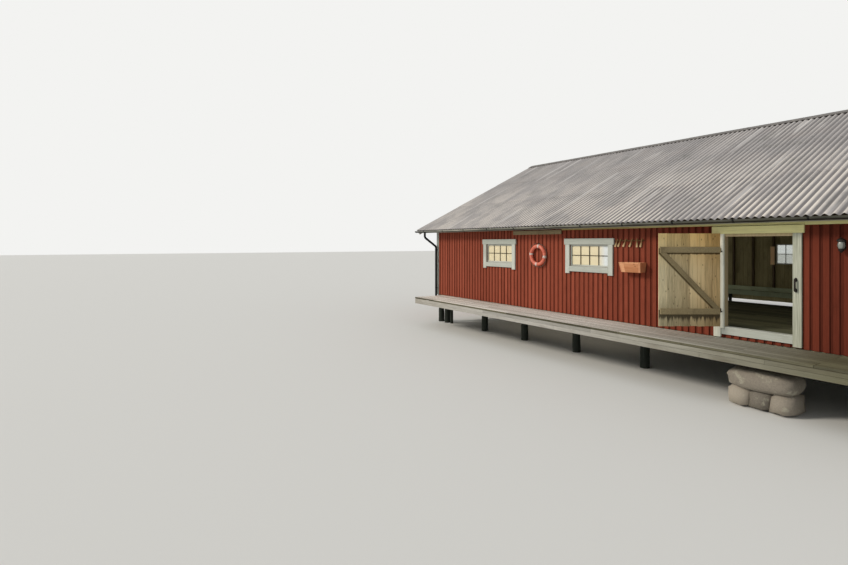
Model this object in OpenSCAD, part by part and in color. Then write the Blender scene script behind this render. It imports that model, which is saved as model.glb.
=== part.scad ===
// Timber boathouse on piles, with a landing deck, a corrugated gable roof and one side door.
// X runs along the long wall, Y into the hall and Z up, from the water line, in millimetres.

/* [Hall] */
// Length of the long walls, outside
wall_len = 16000; // [15200:400:17600]
// Depth of the hall, outside
hall_w = 12600; // [11600:200:13600]
// Height of the deck's walking surface above the water line
deck_z = 1100; // [900:50:1400]
// Thickness of the boarded skin of a wall
skin_t = 45; // [35:5:60]
// How far the walls that have no deck reach below the deck's surface
skirt = 400; // [250:10:450]

/* [Roof] */
// Pitch of the roof, in degrees
slope = 25.8; // [22:0.1:29]
// Height of the roof's underside at the drip edge, above the deck
eave_h = 2594; // [2560:2:2640]
// Overhang of the roof past the long walls
eave_out = 420; // [380:10:480]
// Overhang of the roof past the gables
gable_out = 900; // [600:50:1000]
// Distance from crest to crest of the corrugated sheets
wave_pitch = 146; // [130:1:177]
// Depth of the corrugation
wave_depth = 48; // [35:1:55]
// Thickness of the sheet
sheet_t = 9; // [7:1:12]

/* [Frame] */
// Spacing of the wall studs
stud_step = 800; // [700:50:900]
// Width of a stud along the wall
stud_w = 75; // [60:5:100]
// Depth of a stud across the wall
stud_d = 100; // [90:5:125]
// Height of the wall plates
plate_h = 150; // [120:10:160]
// Depth of a rafter, square to the roof
rafter_d = 175; // [150:5:200]
// Depth of a purlin, square to the roof
purlin_d = 50; // [40:5:60]
// Height of a sill beam
sill_h = 200; // [160:10:220]
// Width of a sill beam
sill_w = 150; // [120:10:180]

/* [Deck] */
// Width of the landing deck
deck_w = 1340; // [1100:20:1600]
// Where the deck starts, from the wall's left corner
deck_s = 425; // [300:25:600]
// Number of planks across the deck
plank_n = 8; // [6:1:9]
// Thickness of the deck planks
plank_t = 45; // [35:5:50]
// Diameter of the piles under the front wall
pile_dia = 245; // [190:5:260]
// Diameter of the other piles
wall_pile_dia = 150; // [130:10:160]

/* [Windows] */
// Width of a window opening
win_w = 1330; // [1000:10:1400]
// Bottom of the front windows above the deck
win_h0 = 1430; // [1300:10:1500]
// Top of every window above the deck
win_h1 = 2055; // [1950:5:2080]
// Bottom of the back and gable windows above the deck
back_win_h0 = 1200; // [1150:10:1400]
// Width of a window's side casing
win_case_w = 150; // [120:5:200]

/* [Door] */
// Left edge of the doorway, from the wall's left corner
door_s = 11280; // [10800:20:11700]
// Width of the doorway
door_w = 1306; // [1000:2:1400]
// Bottom of the doorway above the deck
door_h0 = 249; // [150:1:300]
// Top of the doorway above the deck
door_h1 = 2242; // [2100:1:2290]
// How far the door stands open from closed, in degrees
open_angle = 123; // [60:1:165]
// Width of the door leaf
leaf_w = 1370; // [1370:5:1520]

/* [Hidden] */
$fn = 32;

// Places: s along the wall from its left corner, d behind its outer face, h above the deck
gutter_r = 70;
gutter_t = 3;
pipe_r = 45;
gutter_out = eave_out + 30;
fascia_d = 40 - eave_out;
fascia_t = 25;
wall_y = (deck_w - hall_w - gutter_out - gutter_r) / 2;
function wx(s) = s - wall_len / 2;
function dy(d) = wall_y + d;
function hz(h) = deck_z + h;

// Roof planes, at the underside of the sheets, and square offsets below them
function roof_h(d) = eave_h + (min(d, hall_w - d) + eave_out) * tan(slope);
function below(d, w) = roof_h(d) - w / cos(slope);

// Hair-width gap left between timbers that bear on each other
seam = 1;
ridge_d = hall_w / 2;
slope_len = (ridge_d + eave_out) / cos(slope);
roof_len = wall_len + 2 * gable_out;
wave_n = round(roof_len / wave_pitch);
pitch = roof_len / wave_n;

// Wall frame
plate_h1 = 2600;
plate_h0 = plate_h1 - plate_h;
skin_h1 = 2530;
truss_step = 2 * stud_step;
truss_n = floor(wall_len / truss_step);
rafter_t = 75;
tie_t = 60;
tie_h = 175;

// Windows: centres along each wall
front_wins = [3820, 7600];
back_wins = [3850, 7885, 11900];
gable_win = 3700;
case_t = 50;
case_ear = 40;
case_head = 175;
case_foot = 155;
case_drop = 60;
sash_t = 55;
sash_in = 20;
pane_in = 45;
sash_w = 45;
glass_t = 5;

// Doorway and door leaf; the hinge line stands clear of the casing
jamb_t = 30;
head_t = 60;
door_top = door_h1 + head_t;
axis_s = 11240;
axis_d = -100;
leaf_t = 28;
leaf_gap = 16;
leaf_h0 = 258;
leaf_h1 = 2312;
ledge_t = 30;
ledge_w = 130;
ledge_hs = [525, 1885];
brace_run = 155;
strap_t = 6;
strap_hs = [600, 1930];
pin_r = 8;
pin_gap = 0.1;

// Boat opening in the lake gable, and the floor of the landward part
boat_d0 = 6400;
boat_d1 = 11400;
boat_h1 = 2350;
floor_s = 7900;
floor_d = 5800;
floor_h = 200;
floor_t = 45;
floor_beam_h = 200;

// Fittings on the front wall
casing_top = 2465;
ring_s = 5695;
ring_h = 1715;
ring_r = 285;
ring_tube = 60;

// Supports: the deck's joists lie on a stringer, and that on bearers which pass under the wall
front_piles = [531, 2872, 4906, 7044, 9249];
front_pile_d = 140;
corner_pile_s = 115;
prop_s = 819;
prop_dia = 130;
back_piles = [170, 2700, 5400, 8180, 10600];
pier_s = [12000, 14000, 15580];
pier_d = 420;
bearer_w = 120;
bearer_h0 = -350;
joist_w = 60;
joist_h = 100;
stringer_d = -690;

// A squared timber between two places
module bar(s0, s1, d0, d1, h0, h1)
  translate([wx(s0), dy(d0), hz(h0)]) cube([s1 - s0, d1 - d0, h1 - h0]);

// A plate of the given (d, h) outline that stands across the hall from s0 to s1
module across(s0, s1, outline)
  translate([wx(s0), dy(0), hz(0)]) rotate([90, 0, 90])
    linear_extrude(s1 - s0) polygon(outline);

// Children drawn on the front roof plane: X along the eave, Y up the slope, Z square to it
module on_slope()
  translate([0, dy(-eave_out), hz(eave_h)]) rotate([slope, 0, 0]) children();

// The same thing on the back of the hall
module to_back()
  translate([0, 2 * dy(ridge_d), 0]) mirror([0, 1, 0]) children();

module post(s, d, h1, dia = wall_pile_dia)
  translate([wx(s), dy(d), 0]) cylinder(h = hz(h1), d = dia);

module timber_piles() color("#2C3530") {
  inset = skin_t + wall_pile_dia / 2 + 2;
  for (s = front_piles) post(s, front_pile_d, bearer_h0 - seam, pile_dia);
  post(corner_pile_s, front_pile_d, -skirt - seam, pile_dia);
  bar(skin_t + 2, skin_t + 152, 65, 215, -skirt, -sill_h);
  post(prop_s, front_pile_d, -sill_h, prop_dia);
  for (s = back_piles) post(s, hall_w - inset, -sill_h);
  for (s = [8180, 10600]) post(s, floor_d - 100, -floor_beam_h);
  for (d = [3400, boat_d0 - 75, boat_d1 + 75]) post(inset, d, -sill_h);
}

// A field-stone pier, drawn in towards its top
module pier(s, d, h1)
  translate([wx(s), dy(d), 0]) rotate([0, 0, 45])
    cylinder(h = hz(h1) - seam, r1 = 520, r2 = 440, $fn = 4);

module stone_piers() color("#8A8880") {
  for (s = pier_s) {
    pier(s, pier_d, bearer_h0);
    pier(s, floor_d - 330, -floor_beam_h);
    pier(s, hall_w - pier_d, -sill_h);
  }
  pier(pier_s[2], 8900, -sill_h);
  translate([wx(12400), dy(-790), 0]) scale([1.6, 1, 1])
    cylinder(h = hz(bearer_h0 - 10), r1 = 400, r2 = 370, $fn = 9);
}

module sill_beams() color("#4A4238") {
  bar(skin_t, wall_len - skin_t, skin_t, skin_t + sill_w, -sill_h, 0);
  bar(skin_t, wall_len - skin_t, hall_w - skin_t - sill_w, hall_w - skin_t, -sill_h, 0);
  bar(skin_t, skin_t + sill_w, skin_t + sill_w, boat_d0 - 150, -sill_h, 0);
  bar(skin_t, skin_t + sill_w, boat_d1 + 150, hall_w - skin_t - sill_w, -sill_h, 0);
  bar(wall_len - skin_t - sill_w, wall_len - skin_t, skin_t + sill_w,
      hall_w - skin_t - sill_w, -sill_h, 0);
}

module deck_frame() color("#6A6258") {
  step = (wall_len - deck_s - joist_w) / 12;
  for (i = [0:12])
    bar(deck_s + i * step, deck_s + i * step + joist_w, 28 - deck_w, skin_t,
        -plank_t - joist_h, -plank_t);
  bar(deck_s, wall_len, stringer_d, stringer_d + 120, -sill_h, -plank_t - joist_h - seam);
  for (s = concat(front_piles, pier_s))
    bar(s - bearer_w / 2, s + bearer_w / 2, stringer_d, 700, bearer_h0, -sill_h - seam);
}

module deck_planks() color("#B8ACA0") {
  step = (deck_w - 4) / plank_n;
  for (i = [0:plank_n - 1])
    bar(deck_s, wall_len, i * step - deck_w, (i + 1) * step - 8 - deck_w, -plank_t, 0);
}

module deck_edge_board() color("#B4B1A6")
  bar(deck_s, wall_len, -deck_w, 28 - deck_w, -240, -plank_t);

module floor_frame() color("#5A5046") {
  bar(floor_s, wall_len - skin_t - sill_w, floor_d - 200, floor_d, -floor_beam_h, 0);
  for (s = [floor_s:900:wall_len - 1000])
    bar(s, s + 60, skin_t + stud_d, floor_d, seam, floor_h - floor_t);
}

module floor_boards() color("#6E6456")
  bar(floor_s, wall_len - skin_t - stud_d, skin_t + stud_d, floor_d,
      floor_h - floor_t, floor_h);

// Openings that a long wall leaves for its windows
module win_holes(centres, d0, d1, h0)
  for (c = centres) bar(c - win_w / 2, c + win_w / 2, d0, d1, h0, win_h1);

module front_wall_left() color("#8F4A3A") difference() {
  bar(0, door_s - jamb_t, 0, skin_t, 0, skin_h1);
  win_holes(front_wins, -1, skin_t + 1, win_h0);
}

module front_wall_door_bay() color("#8F4A3A") {
  bar(door_s - jamb_t, door_s + door_w + jamb_t, 0, skin_t, door_top, skin_h1);
  bar(door_s - jamb_t, door_s + door_w + jamb_t, 0, skin_t, 0, door_h0 - jamb_t);
}

module front_wall_right() color("#8F4A3A")
  bar(door_s + door_w + jamb_t, wall_len, 0, skin_t, 0, skin_h1);

module back_wall() color("#8F4A3A") difference() {
  bar(0, wall_len, hall_w - skin_t, hall_w, -skirt, skin_h1);
  win_holes(back_wins, hall_w - skin_t - 1, hall_w + 1, back_win_h0);
}

// Outline of a gable's skin, up to the underside of the purlins
function gable_outline() = [
  [skin_t, -skirt], [hall_w - skin_t, -skirt],
  [hall_w - skin_t, below(hall_w - skin_t, purlin_d)],
  [ridge_d, below(ridge_d, purlin_d)], [skin_t, below(skin_t, purlin_d)]
];

module left_gable() color("#8F4A3A") difference() {
  across(0, skin_t, gable_outline());
  bar(-1, skin_t + 1, boat_d0, boat_d1, -skirt - 1, boat_h1);
}

module right_gable() color("#8F4A3A") difference() {
  across(wall_len - skin_t, wall_len, gable_outline());
  bar(wall_len - skin_t - 1, wall_len + 1, gable_win - win_w / 2, gable_win + win_w / 2,
      back_win_h0, win_h1);
}

// Studs of a long wall between two places, cut where an opening stands
module long_studs(s0, s1, d0)
  for (s = [s0:stud_step:s1]) bar(s, s + stud_w, d0, d0 + stud_d, 0, plate_h0);

module studs_front_left() color("#7A6A54") difference() {
  union() {
    long_studs(skin_t, door_s - 400, skin_t);
    bar(door_s - jamb_t - stud_w, door_s - jamb_t, skin_t, skin_t + stud_d, 0, plate_h0);
  }
  win_holes(front_wins, 0, skin_t + stud_d + 1, win_h0);
}

module studs_front_right() color("#7A6A54") {
  long_studs(door_s + door_w + jamb_t, wall_len - 400, skin_t);
  bar(wall_len - skin_t - stud_w, wall_len - skin_t, skin_t, skin_t + stud_d, 0, plate_h0);
}

module studs_back() color("#7A6A54") difference() {
  union() {
    bar(skin_t, skin_t + stud_w, hall_w - skin_t - stud_d, hall_w - skin_t, 0, plate_h0);
    long_studs(705, wall_len - 400, hall_w - skin_t - stud_d);
    bar(wall_len - skin_t - stud_w, wall_len - skin_t, hall_w - skin_t - stud_d,
        hall_w - skin_t, 0, plate_h0);
  }
  win_holes(back_wins, hall_w - skin_t - stud_d - 1, hall_w, back_win_h0);
}

// A gable stud reaches up to the underside of the end rafter
module gable_stud(s0, d, h0 = 0)
  across(s0, s0 + stud_d, [[d, h0], [d + stud_w, h0],
    [d + stud_w, below(d + stud_w, purlin_d + rafter_d + seam)],
    [d, below(d, purlin_d + rafter_d + seam)]]);

module studs_left_gable() color("#7A6A54") {
  for (d = [900:stud_step:boat_d0 - 500]) gable_stud(skin_t, d);
  for (d = [boat_d0 + 600:stud_step:boat_d1 - 300]) gable_stud(skin_t, d, plate_h1);
}

module studs_right_gable() color("#7A6A54") difference() {
  union() {
    for (i = [0:6], side = [0, 1])
      gable_stud(wall_len - skin_t - stud_d,
                 side ? hall_w - 900 - stud_w - i * stud_step : 900 + i * stud_step);
    bar(wall_len - skin_t - stud_d, wall_len - skin_t, ridge_d - stud_w / 2,
        ridge_d + stud_w / 2, 0, plate_h1);
  }
  bar(wall_len - skin_t - stud_d - 1, wall_len, gable_win - win_w / 2,
      gable_win + win_w / 2, back_win_h0, win_h1);
}

module wall_plates() color("#7A6A54") {
  bar(skin_t, wall_len - skin_t, skin_t, skin_t + stud_d, plate_h0, plate_h1);
  bar(skin_t, wall_len - skin_t, hall_w - skin_t - stud_d, hall_w - skin_t,
      plate_h0, plate_h1);
}

module boat_opening_frame() color("#7A6A54") {
  for (d = [boat_d0 - 150, boat_d1]) bar(skin_t, skin_t + 150, d, d + 150, -sill_h, boat_h1);
  bar(skin_t, skin_t + 150, boat_d0 - 150, boat_d1 + 150, boat_h1, plate_h1);
}

// One rafter, with its tail cut level behind the gutter and seated over the plate
module rafter(s) difference() {
  across(s, s + rafter_t, [
    [fascia_d + fascia_t, below(fascia_d + fascia_t, purlin_d)],
    [fascia_d + fascia_t, skin_h1], [0, skin_h1],
    [skin_t, below(skin_t, purlin_d + rafter_d)],
    [ridge_d - 25, below(ridge_d - 25, purlin_d + rafter_d)],
    [ridge_d - 25, below(ridge_d - 25, purlin_d)]]);
  bar(s - 1, s + rafter_t + 1, skin_t, skin_t + stud_d, plate_h0, plate_h1);
}

function truss_s(i) = i == truss_n ? wall_len - skin_t - rafter_t : skin_t + i * truss_step;

module rafters_front() color("#7A6A54") for (i = [0:truss_n]) rafter(truss_s(i));

module rafters_back() color("#7A6A54") to_back() for (i = [0:truss_n]) rafter(truss_s(i));

// Each tie lies on the plates beside its pair of rafters; the gables do without
module tie_beams() color("#7A6A54") for (i = [1:truss_n - 1])
  bar(truss_s(i) + rafter_t, truss_s(i) + rafter_t + tie_t, skin_t, hall_w - skin_t,
      plate_h1, plate_h1 + tie_h);

module ridge_frame() color("#7A6A54") {
  for (i = [0:truss_n])
    bar(truss_s(i), truss_s(i) + rafter_t, ridge_d - 60, ridge_d + 60, plate_h1,
        below(ridge_d - 60, purlin_d + rafter_d) - seam);
  bar(skin_t, wall_len - skin_t, ridge_d - 25, ridge_d + 25,
      below(ridge_d - 60, purlin_d + rafter_d), below(ridge_d - 25, purlin_d));
}

module slope_purlins() on_slope()
  for (i = [0:6])
    translate([wx(-gable_out + 28), 80 + i * (slope_len - 220) / 6, seam - purlin_d])
      cube([roof_len - 56, 75, purlin_d - seam]);

module purlins_front() color("#8A7A62") slope_purlins();

module purlins_back() color("#8A7A62") to_back() slope_purlins();

// Corrugated sheet: six straight runs a wave, as a profile drawn along the eave
function wave(i) = wave_depth / 2 * (1 + cos(60 * i + 30) / cos(30));

module slope_sheet() on_slope()
  translate([wx(-gable_out), slope_len - 30, 0]) rotate([90, 0, 0])
    linear_extrude(slope_len - 30)
      polygon(concat(
        [for (i = [0:6 * wave_n]) [i * pitch / 6, wave(i) + sheet_t]],
        [for (i = [6 * wave_n:-1:0]) [i * pitch / 6, wave(i)]]));

module roof_front() color("#9E9995") slope_sheet();

module roof_back() color("#9E9995") to_back() slope_sheet();

// Ridge flashing: a wing on each slope, lapped over the crests
module cap_wing() {
  cap_w = 260;
  cap_t = 6;
  drop = cap_w * tan(slope);
  top = roof_h(ridge_d) + (wave_depth + sheet_t + 2 * seam) / cos(slope);
  across(-gable_out, wall_len + gable_out, [
    [ridge_d - cap_w, top - drop], [ridge_d - seam / 2, top], [ridge_d - seam / 2, top + cap_t],
    [ridge_d - cap_w, top - drop + cap_t]]);
}

module ridge_cap() color("#4A4845") {
  cap_wing();
  to_back() cap_wing();
}

module rake_board() on_slope()
  for (s = [-gable_out, wall_len + gable_out - 28])
    translate([wx(s), 60, -180]) cube([28, slope_len - 150, 180]);

module barge_boards() color("#B4B1A6") {
  rake_board();
  to_back() rake_board();
}

module fascia_board()
  bar(-gable_out + 28, wall_len + gable_out - 28, fascia_d, fascia_d + fascia_t,
      skin_h1 - 20, below(fascia_d, purlin_d));

module eaves_fascia() color("#8A8378") {
  fascia_board();
  to_back() fascia_board();
}

// Half-round gutter with closed ends, hung on the fascia
module gutter()
  translate([wx(-gable_out - 10), dy(-gutter_out), hz(eave_h)]) rotate([90, 0, 90])
    difference() {
      cylinder(h = roof_len + 20, r = gutter_r);
      translate([0, 0, 4]) cylinder(h = roof_len + 12, r = gutter_r - gutter_t);
      translate([-gutter_r - 1, 0, -1]) cube([2 * gutter_r + 2, gutter_r + 1, roof_len + 22]);
    }

module gutters() color("#5E5C52") {
  gutter();
  to_back() gutter();
}

// A straight run of pipe between two points
module pipe_run(p, q) {
  v = q - p;
  translate(p) rotate([0, acos(v[2] / norm(v)), atan2(v[1], v[0])])
    cylinder(h = norm(v), r = pipe_r);
}

// Outlet under the gutter, swan neck to the corner board, then straight down with two clips
module downpipe() color("#26282A") {
  outlet = [wx(-240), dy(-gutter_out), hz(eave_h - gutter_r)];
  bend = outlet - [0, 0, 198];
  corner = [wx(60), dy(-30 - pipe_r - 20), hz(1950)];
  pipe_run(outlet, bend);
  pipe_run(bend, corner);
  pipe_run(corner, corner - [0, 0, 2010]);
  for (p = [bend, corner]) translate(p) sphere(r = pipe_r + 4);
  for (h = [250, 1800]) {
    translate([corner[0], corner[1], hz(h)]) cylinder(h = 40, r = pipe_r + 6);
    bar(48, 72, -30 - 25, -30, h + 5, h + 35);
  }
}

// Corner boards, and frieze boards under the eaves; the front one starts at the eave plank
module white_trim() color("#D2D8D4") {
  for (s = [0, wall_len - 140]) {
    bar(s, s + 140, -30, 0, 0, skin_h1);
    bar(s, s + 140, hall_w, hall_w + 30, -skirt, skin_h1);
  }
  bar(140, wall_len - 140, hall_w, hall_w + 30, casing_top + 5, skin_h1);
  bar(6622, door_s - 257, -30, 0, 2480, skin_h1);
  bar(door_s - 257, door_s + door_w + 195, -30, 0, casing_top + 5, skin_h1);
  bar(door_s + door_w + 195, wall_len - 140, -30, 0, 2458, skin_h1);
}

// Casing boards round a window: an eared head, two sides with feet and a bottom board
module casing(c, h0) {
  half = win_w / 2;
  out = half + win_case_w;
  bar(c - out - case_ear, c + out + case_ear, -case_t - 5, 0, win_h1, win_h1 + case_head);
  for (s = [c - out, c + half])
    bar(s, s + win_case_w, -case_t, 0, h0 - case_foot - case_drop, win_h1 - seam);
  bar(c - half + seam, c + half - seam, -case_t, 0, h0 - case_foot, h0);
}

// Sash frame set back in the wall: two stiles with two rails between them
module sash(c, h0) {
  x = win_w / 2;
  for (s = [c - x, c + x - sash_w])
    bar(s, s + sash_w, sash_in, sash_in + sash_t, h0, win_h1);
  for (h = [h0, win_h1 - sash_w])
    bar(c - x + sash_w + seam, c + x - sash_w - seam, sash_in, sash_in + sash_t, h, h + sash_w);
}

module pane(c, h0)
  bar(c - win_w / 2 + sash_w, c + win_w / 2 - sash_w, pane_in, pane_in + glass_t,
      h0 + sash_w, win_h1 - sash_w);

// A window's pieces moved from the front wall to the right gable
module to_gable()
  translate([wx(wall_len), dy(gable_win), 0]) rotate([0, 0, 90]) translate([-wx(0), -dy(0), 0])
    children();

module window_casings() color("#D2D8D4") {
  for (c = front_wins) casing(c, win_h0);
  to_back() for (c = back_wins) casing(c, back_win_h0);
  to_gable() casing(0, back_win_h0);
}

module window_sashes() color("#C9CFCC") {
  for (c = front_wins) sash(c, win_h0);
  to_back() for (c = back_wins) sash(c, back_win_h0);
  to_gable() sash(0, back_win_h0);
}

module window_glass_front() color("#CFE0E6") for (c = front_wins) pane(c, win_h0);

module window_glass_back() color("#CFE0E6")
  to_back() for (c = back_wins) pane(c, back_win_h0);

module window_glass_gable() color("#CFE0E6") to_gable() pane(0, back_win_h0);

// Boards round the doorway, and the painted board under its sill, let into the left board's foot
module door_casing() color("#DADCD2") {
  notch_h = door_h0 - jamb_t;
  bar(door_s - 222, door_s, -case_t, 0, notch_h, door_top - seam);
  bar(door_s - 222, door_s - 71, -case_t, 0, 15, notch_h - seam);
  bar(door_s + door_w, door_s + door_w + 154, -case_t, 0, 30, door_top - seam);
  bar(door_s - 256, door_s + door_w + 194, -case_t - 5, 0, door_top, casing_top);
  bar(door_s - 70, door_s + door_w - seam, -30, 0, 82, notch_h - seam);
}

// Lining of the doorway: two sides, a deep head and a sill that laps the board below it
module door_jamb() color("#A08C6C") {
  in = skin_t + stud_d;
  for (s = [door_s - jamb_t, door_s + door_w])
    bar(s, s + jamb_t, 0, in, door_h0 - jamb_t, door_top);
  bar(door_s + seam, door_s + door_w - seam, 0, in, door_h1, door_top);
  bar(door_s + seam, door_s + door_w - seam, -30, in, door_h0 - jamb_t, door_h0);
}

// The leaf's own frame: X along it from the hinge line, Y towards the hall when closed
module on_hinge()
  translate([wx(axis_s), dy(axis_d), 0]) rotate([0, 0, -open_angle]) children();

module door_boards() color("#9C8C6E") on_hinge() {
  n = 8;
  step = (leaf_w - leaf_gap) / n;
  for (i = [0:n - 1])
    translate([leaf_gap + i * step, -leaf_t / 2, hz(leaf_h0)])
      cube([step - 3, leaf_t, leaf_h1 - leaf_h0]);
}

// Two ledges across the leaf, and a brace from the low hinge corner to the high free one
module door_ledges() color("#94845E") on_hinge() {
  x0 = leaf_gap + 14;
  x1 = leaf_w - 20;
  foot = hz(ledge_hs[0] + ledge_w + seam);
  head = hz(ledge_hs[1] - seam);
  for (h = ledge_hs) translate([x0, leaf_t / 2, hz(h)]) cube([x1 - x0, ledge_t, ledge_w]);
  translate([0, leaf_t / 2 + ledge_t, 0]) rotate([90, 0, 0]) linear_extrude(ledge_t)
    polygon([[x0, foot], [x0 + brace_run, foot], [x1, head], [x1 - brace_run, head]]);
}

module door_straps() color("#3A3632") on_hinge()
  for (h = strap_hs) difference() {
    union() {
      translate([leaf_gap, -leaf_t / 2 - strap_t, hz(h)]) cube([640, strap_t, 50]);
      translate([0, -leaf_t / 2 - strap_t, hz(h)]) cube([leaf_gap, strap_t, 50]);
      translate([0, 0, hz(h)]) cylinder(h = 50, r = pin_r + 6);
      translate([-3, -leaf_t / 2 - strap_t, hz(h)]) cube([6, 14, 50]);
    }
    translate([0, 0, hz(h) - 1]) cylinder(h = 52, r = pin_r + pin_gap);
  }

module door_pintles() color("#3A3632")
  for (h = strap_hs) {
    translate([wx(axis_s), dy(axis_d), hz(h - 32)]) cylinder(h = 92, r = pin_r);
    bar(axis_s - pin_r, axis_s + pin_r, axis_d, -case_t, h - 32, h - 6);
  }

// Ring buoy hung flat on the wall
module life_ring() color("#E2603A")
  translate([wx(ring_s), dy(-ring_tube), hz(ring_h)]) rotate([90, 0, 0])
    rotate_extrude() translate([ring_r, 0]) circle(r = ring_tube, $fn = 16);

// Shears a board so that it leans by kx and ky for each unit of its rise
module leaning(kx, ky)
  multmatrix([[1, 0, kx, 0], [0, 1, ky, 0], [0, 0, 1, 0], [0, 0, 0, 1]]) children();

// Wall planter that widens upwards: floor, back, leaning front and two leaning ends
module planter_box() color("#C98A5A") translate([wx(9075), dy(0), hz(1345)]) {
  half = 275;
  deep = 205;
  rise = 255;
  board = 20;
  flare = 0.14;
  lean = 0.25;
  gap = 2;
  inner = half - board - gap;
  translate([-inner, board + gap - deep, 0]) cube([2 * inner, deep - board - 2 * gap, board]);
  for (b = [[0, board + gap, 0], [board - deep, 0, -lean]])
    leaning(0, b[2]) translate([0, b[0], 0]) rotate([90, 0, 0]) linear_extrude(board)
      polygon([[-inner - flare * b[1], b[1]], [inner + flare * b[1], b[1]],
               [inner + flare * rise, rise], [-inner - flare * rise, rise]]);
  for (x = [-half, half - board])
    leaning(sign(x) * flare, 0) translate([x, 0, 0]) rotate([90, 0, 90]) linear_extrude(board)
      polygon([[-deep, 0], [0, 0], [0, rise], [-deep - lean * rise, rise]]);
}

// Lamp on a bracket: back plate, arm, hood, globe and lower ring
module wall_lantern() color("#3A3A38") {
  bar(13340, 13430, -20, 0, 1975, 2165);
  bar(13375, 13395, -105, -20, 2140, 2160);
  translate([wx(13385), dy(-105), hz(1952)]) rotate_extrude() polygon([
    [0, -34], [14, -34], [24, -14], [42, 4], [42, 30], [54, 62], [62, 110], [58, 150], [46, 172], [72, 180],
    [66, 206], [40, 230], [16, 240], [12, 258], [0, 258]]);
}

// Six short paddles hung aslant in a row on a thin rail
module peg_row() color("#A5997C") {
  bar(8480, 9320, -18, 0, 2150, 2172);
  for (p = [[8530, 22], [8625, 24], [8780, 26], [8965, 24], [9140, 3], [9262, 16]])
    translate([wx(p[0]), dy(-18 - seam), hz(2105)]) rotate([90, p[1], 0])
      linear_extrude(22) polygon([[-26, -115], [26, -115], [13, 115], [-13, 115]]);
}

// Bow handle beside the door, flattened towards the wall, on two feet
module pull_handle() color("#2A2826")
  translate([wx(12645), dy(-case_t), hz(1265)]) scale([1.35, 1, 1]) {
  r = 14;
  out = 54;
  for (z = [-120, 120]) translate([0, 0, z]) rotate([90, 0, 0])
    cylinder(h = out - r - seam, r = r, $fn = 16);
  translate([0, -out, -120 - r]) cylinder(h = 240 + 2 * r, r = r, $fn = 16);
}

module eave_plank() color("#9A8E7C") bar(4550, 6620, -45, 0, 2368, 2498);

timber_piles();
stone_piers();
sill_beams();
deck_frame();
deck_planks();
deck_edge_board();
floor_frame();
floor_boards();
front_wall_left();
front_wall_door_bay();
front_wall_right();
back_wall();
left_gable();
right_gable();
studs_front_left();
studs_front_right();
studs_back();
studs_left_gable();
studs_right_gable();
wall_plates();
boat_opening_frame();
rafters_front();
rafters_back();
tie_beams();
ridge_frame();
purlins_front();
purlins_back();
roof_front();
roof_back();
ridge_cap();
barge_boards();
eaves_fascia();
gutters();
downpipe();
white_trim();
window_casings();
window_sashes();
window_glass_front();
window_glass_back();
window_glass_gable();
door_casing();
door_jamb();
door_pintles();
door_boards();
door_ledges();
door_straps();
life_ring();
planter_box();
wall_lantern();
eave_plank();
peg_row();
pull_handle();
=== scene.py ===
import math
import random

import bmesh
import bpy
from mathutils import Matrix, Vector, noise


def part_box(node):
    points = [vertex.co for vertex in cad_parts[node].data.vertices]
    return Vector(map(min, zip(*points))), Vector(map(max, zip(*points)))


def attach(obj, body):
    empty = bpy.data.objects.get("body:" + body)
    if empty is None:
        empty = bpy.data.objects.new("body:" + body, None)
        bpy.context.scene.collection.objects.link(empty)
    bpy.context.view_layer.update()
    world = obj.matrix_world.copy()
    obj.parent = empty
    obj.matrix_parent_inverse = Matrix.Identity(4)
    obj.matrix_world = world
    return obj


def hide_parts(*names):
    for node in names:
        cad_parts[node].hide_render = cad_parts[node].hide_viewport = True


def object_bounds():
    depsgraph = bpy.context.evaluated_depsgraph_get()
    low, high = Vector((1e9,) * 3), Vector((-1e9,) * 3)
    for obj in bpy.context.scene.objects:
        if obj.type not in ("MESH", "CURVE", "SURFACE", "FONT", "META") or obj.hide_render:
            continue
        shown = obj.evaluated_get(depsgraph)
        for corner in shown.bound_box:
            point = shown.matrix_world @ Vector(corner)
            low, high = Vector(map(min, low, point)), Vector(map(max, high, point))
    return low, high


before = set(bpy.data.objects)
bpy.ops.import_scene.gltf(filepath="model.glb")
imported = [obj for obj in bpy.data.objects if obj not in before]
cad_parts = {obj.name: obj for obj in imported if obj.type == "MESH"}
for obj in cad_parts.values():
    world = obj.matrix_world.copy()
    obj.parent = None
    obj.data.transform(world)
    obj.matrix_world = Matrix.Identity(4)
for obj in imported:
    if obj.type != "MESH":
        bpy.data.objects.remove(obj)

cad_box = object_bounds()


# Camera: a level view along the landing deck from beside the landward gable, framed upwards.
# Its height and turn come from the long wall's perspective: 21 mm lens on a 36 mm sensor.
wall_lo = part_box("front_wall_left")[0]


def at(s, d, h):
    """A place in metres: s along the long wall, d behind its face, h above the deck."""
    return Vector((wall_lo.x + s, wall_lo.y + d, wall_lo.z + h))


eye = at(16.965, -11.605, 2.1)
focal_px = 500
picture_w = 848
vanishing_px = 323
horizon_px = 39.5
camera_data = bpy.data.cameras.new("camera")
camera_data.sensor_width = 36
camera_data.lens = focal_px * 36 / picture_w
camera_data.shift_y = -horizon_px / picture_w
camera_data.clip_end = 500
camera = bpy.data.objects.new("camera", camera_data)
camera.location = eye
camera.rotation_euler = (math.radians(90), 0, math.atan2(focal_px, vanishing_px))
bpy.context.scene.collection.objects.link(camera)
bpy.context.scene.camera = camera
bpy.context.scene.view_settings.view_transform = "Standard"


# Studio: a pale matt floor at the water line, a pale world, one broad soft sun from the upper left
# of the deck side and a weak lamp in the hall. The backdrop that the camera sees lights nothing.
def linear(code):
    """An sRGB hex colour as linear red, green, blue and alpha."""
    parts = [int(code[i:i + 2], 16) / 255 for i in (1, 3, 5)]
    return [c / 12.92 if c <= 0.04045 else ((c + 0.055) / 1.055) ** 2.4 for c in parts] + [1.0]


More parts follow.
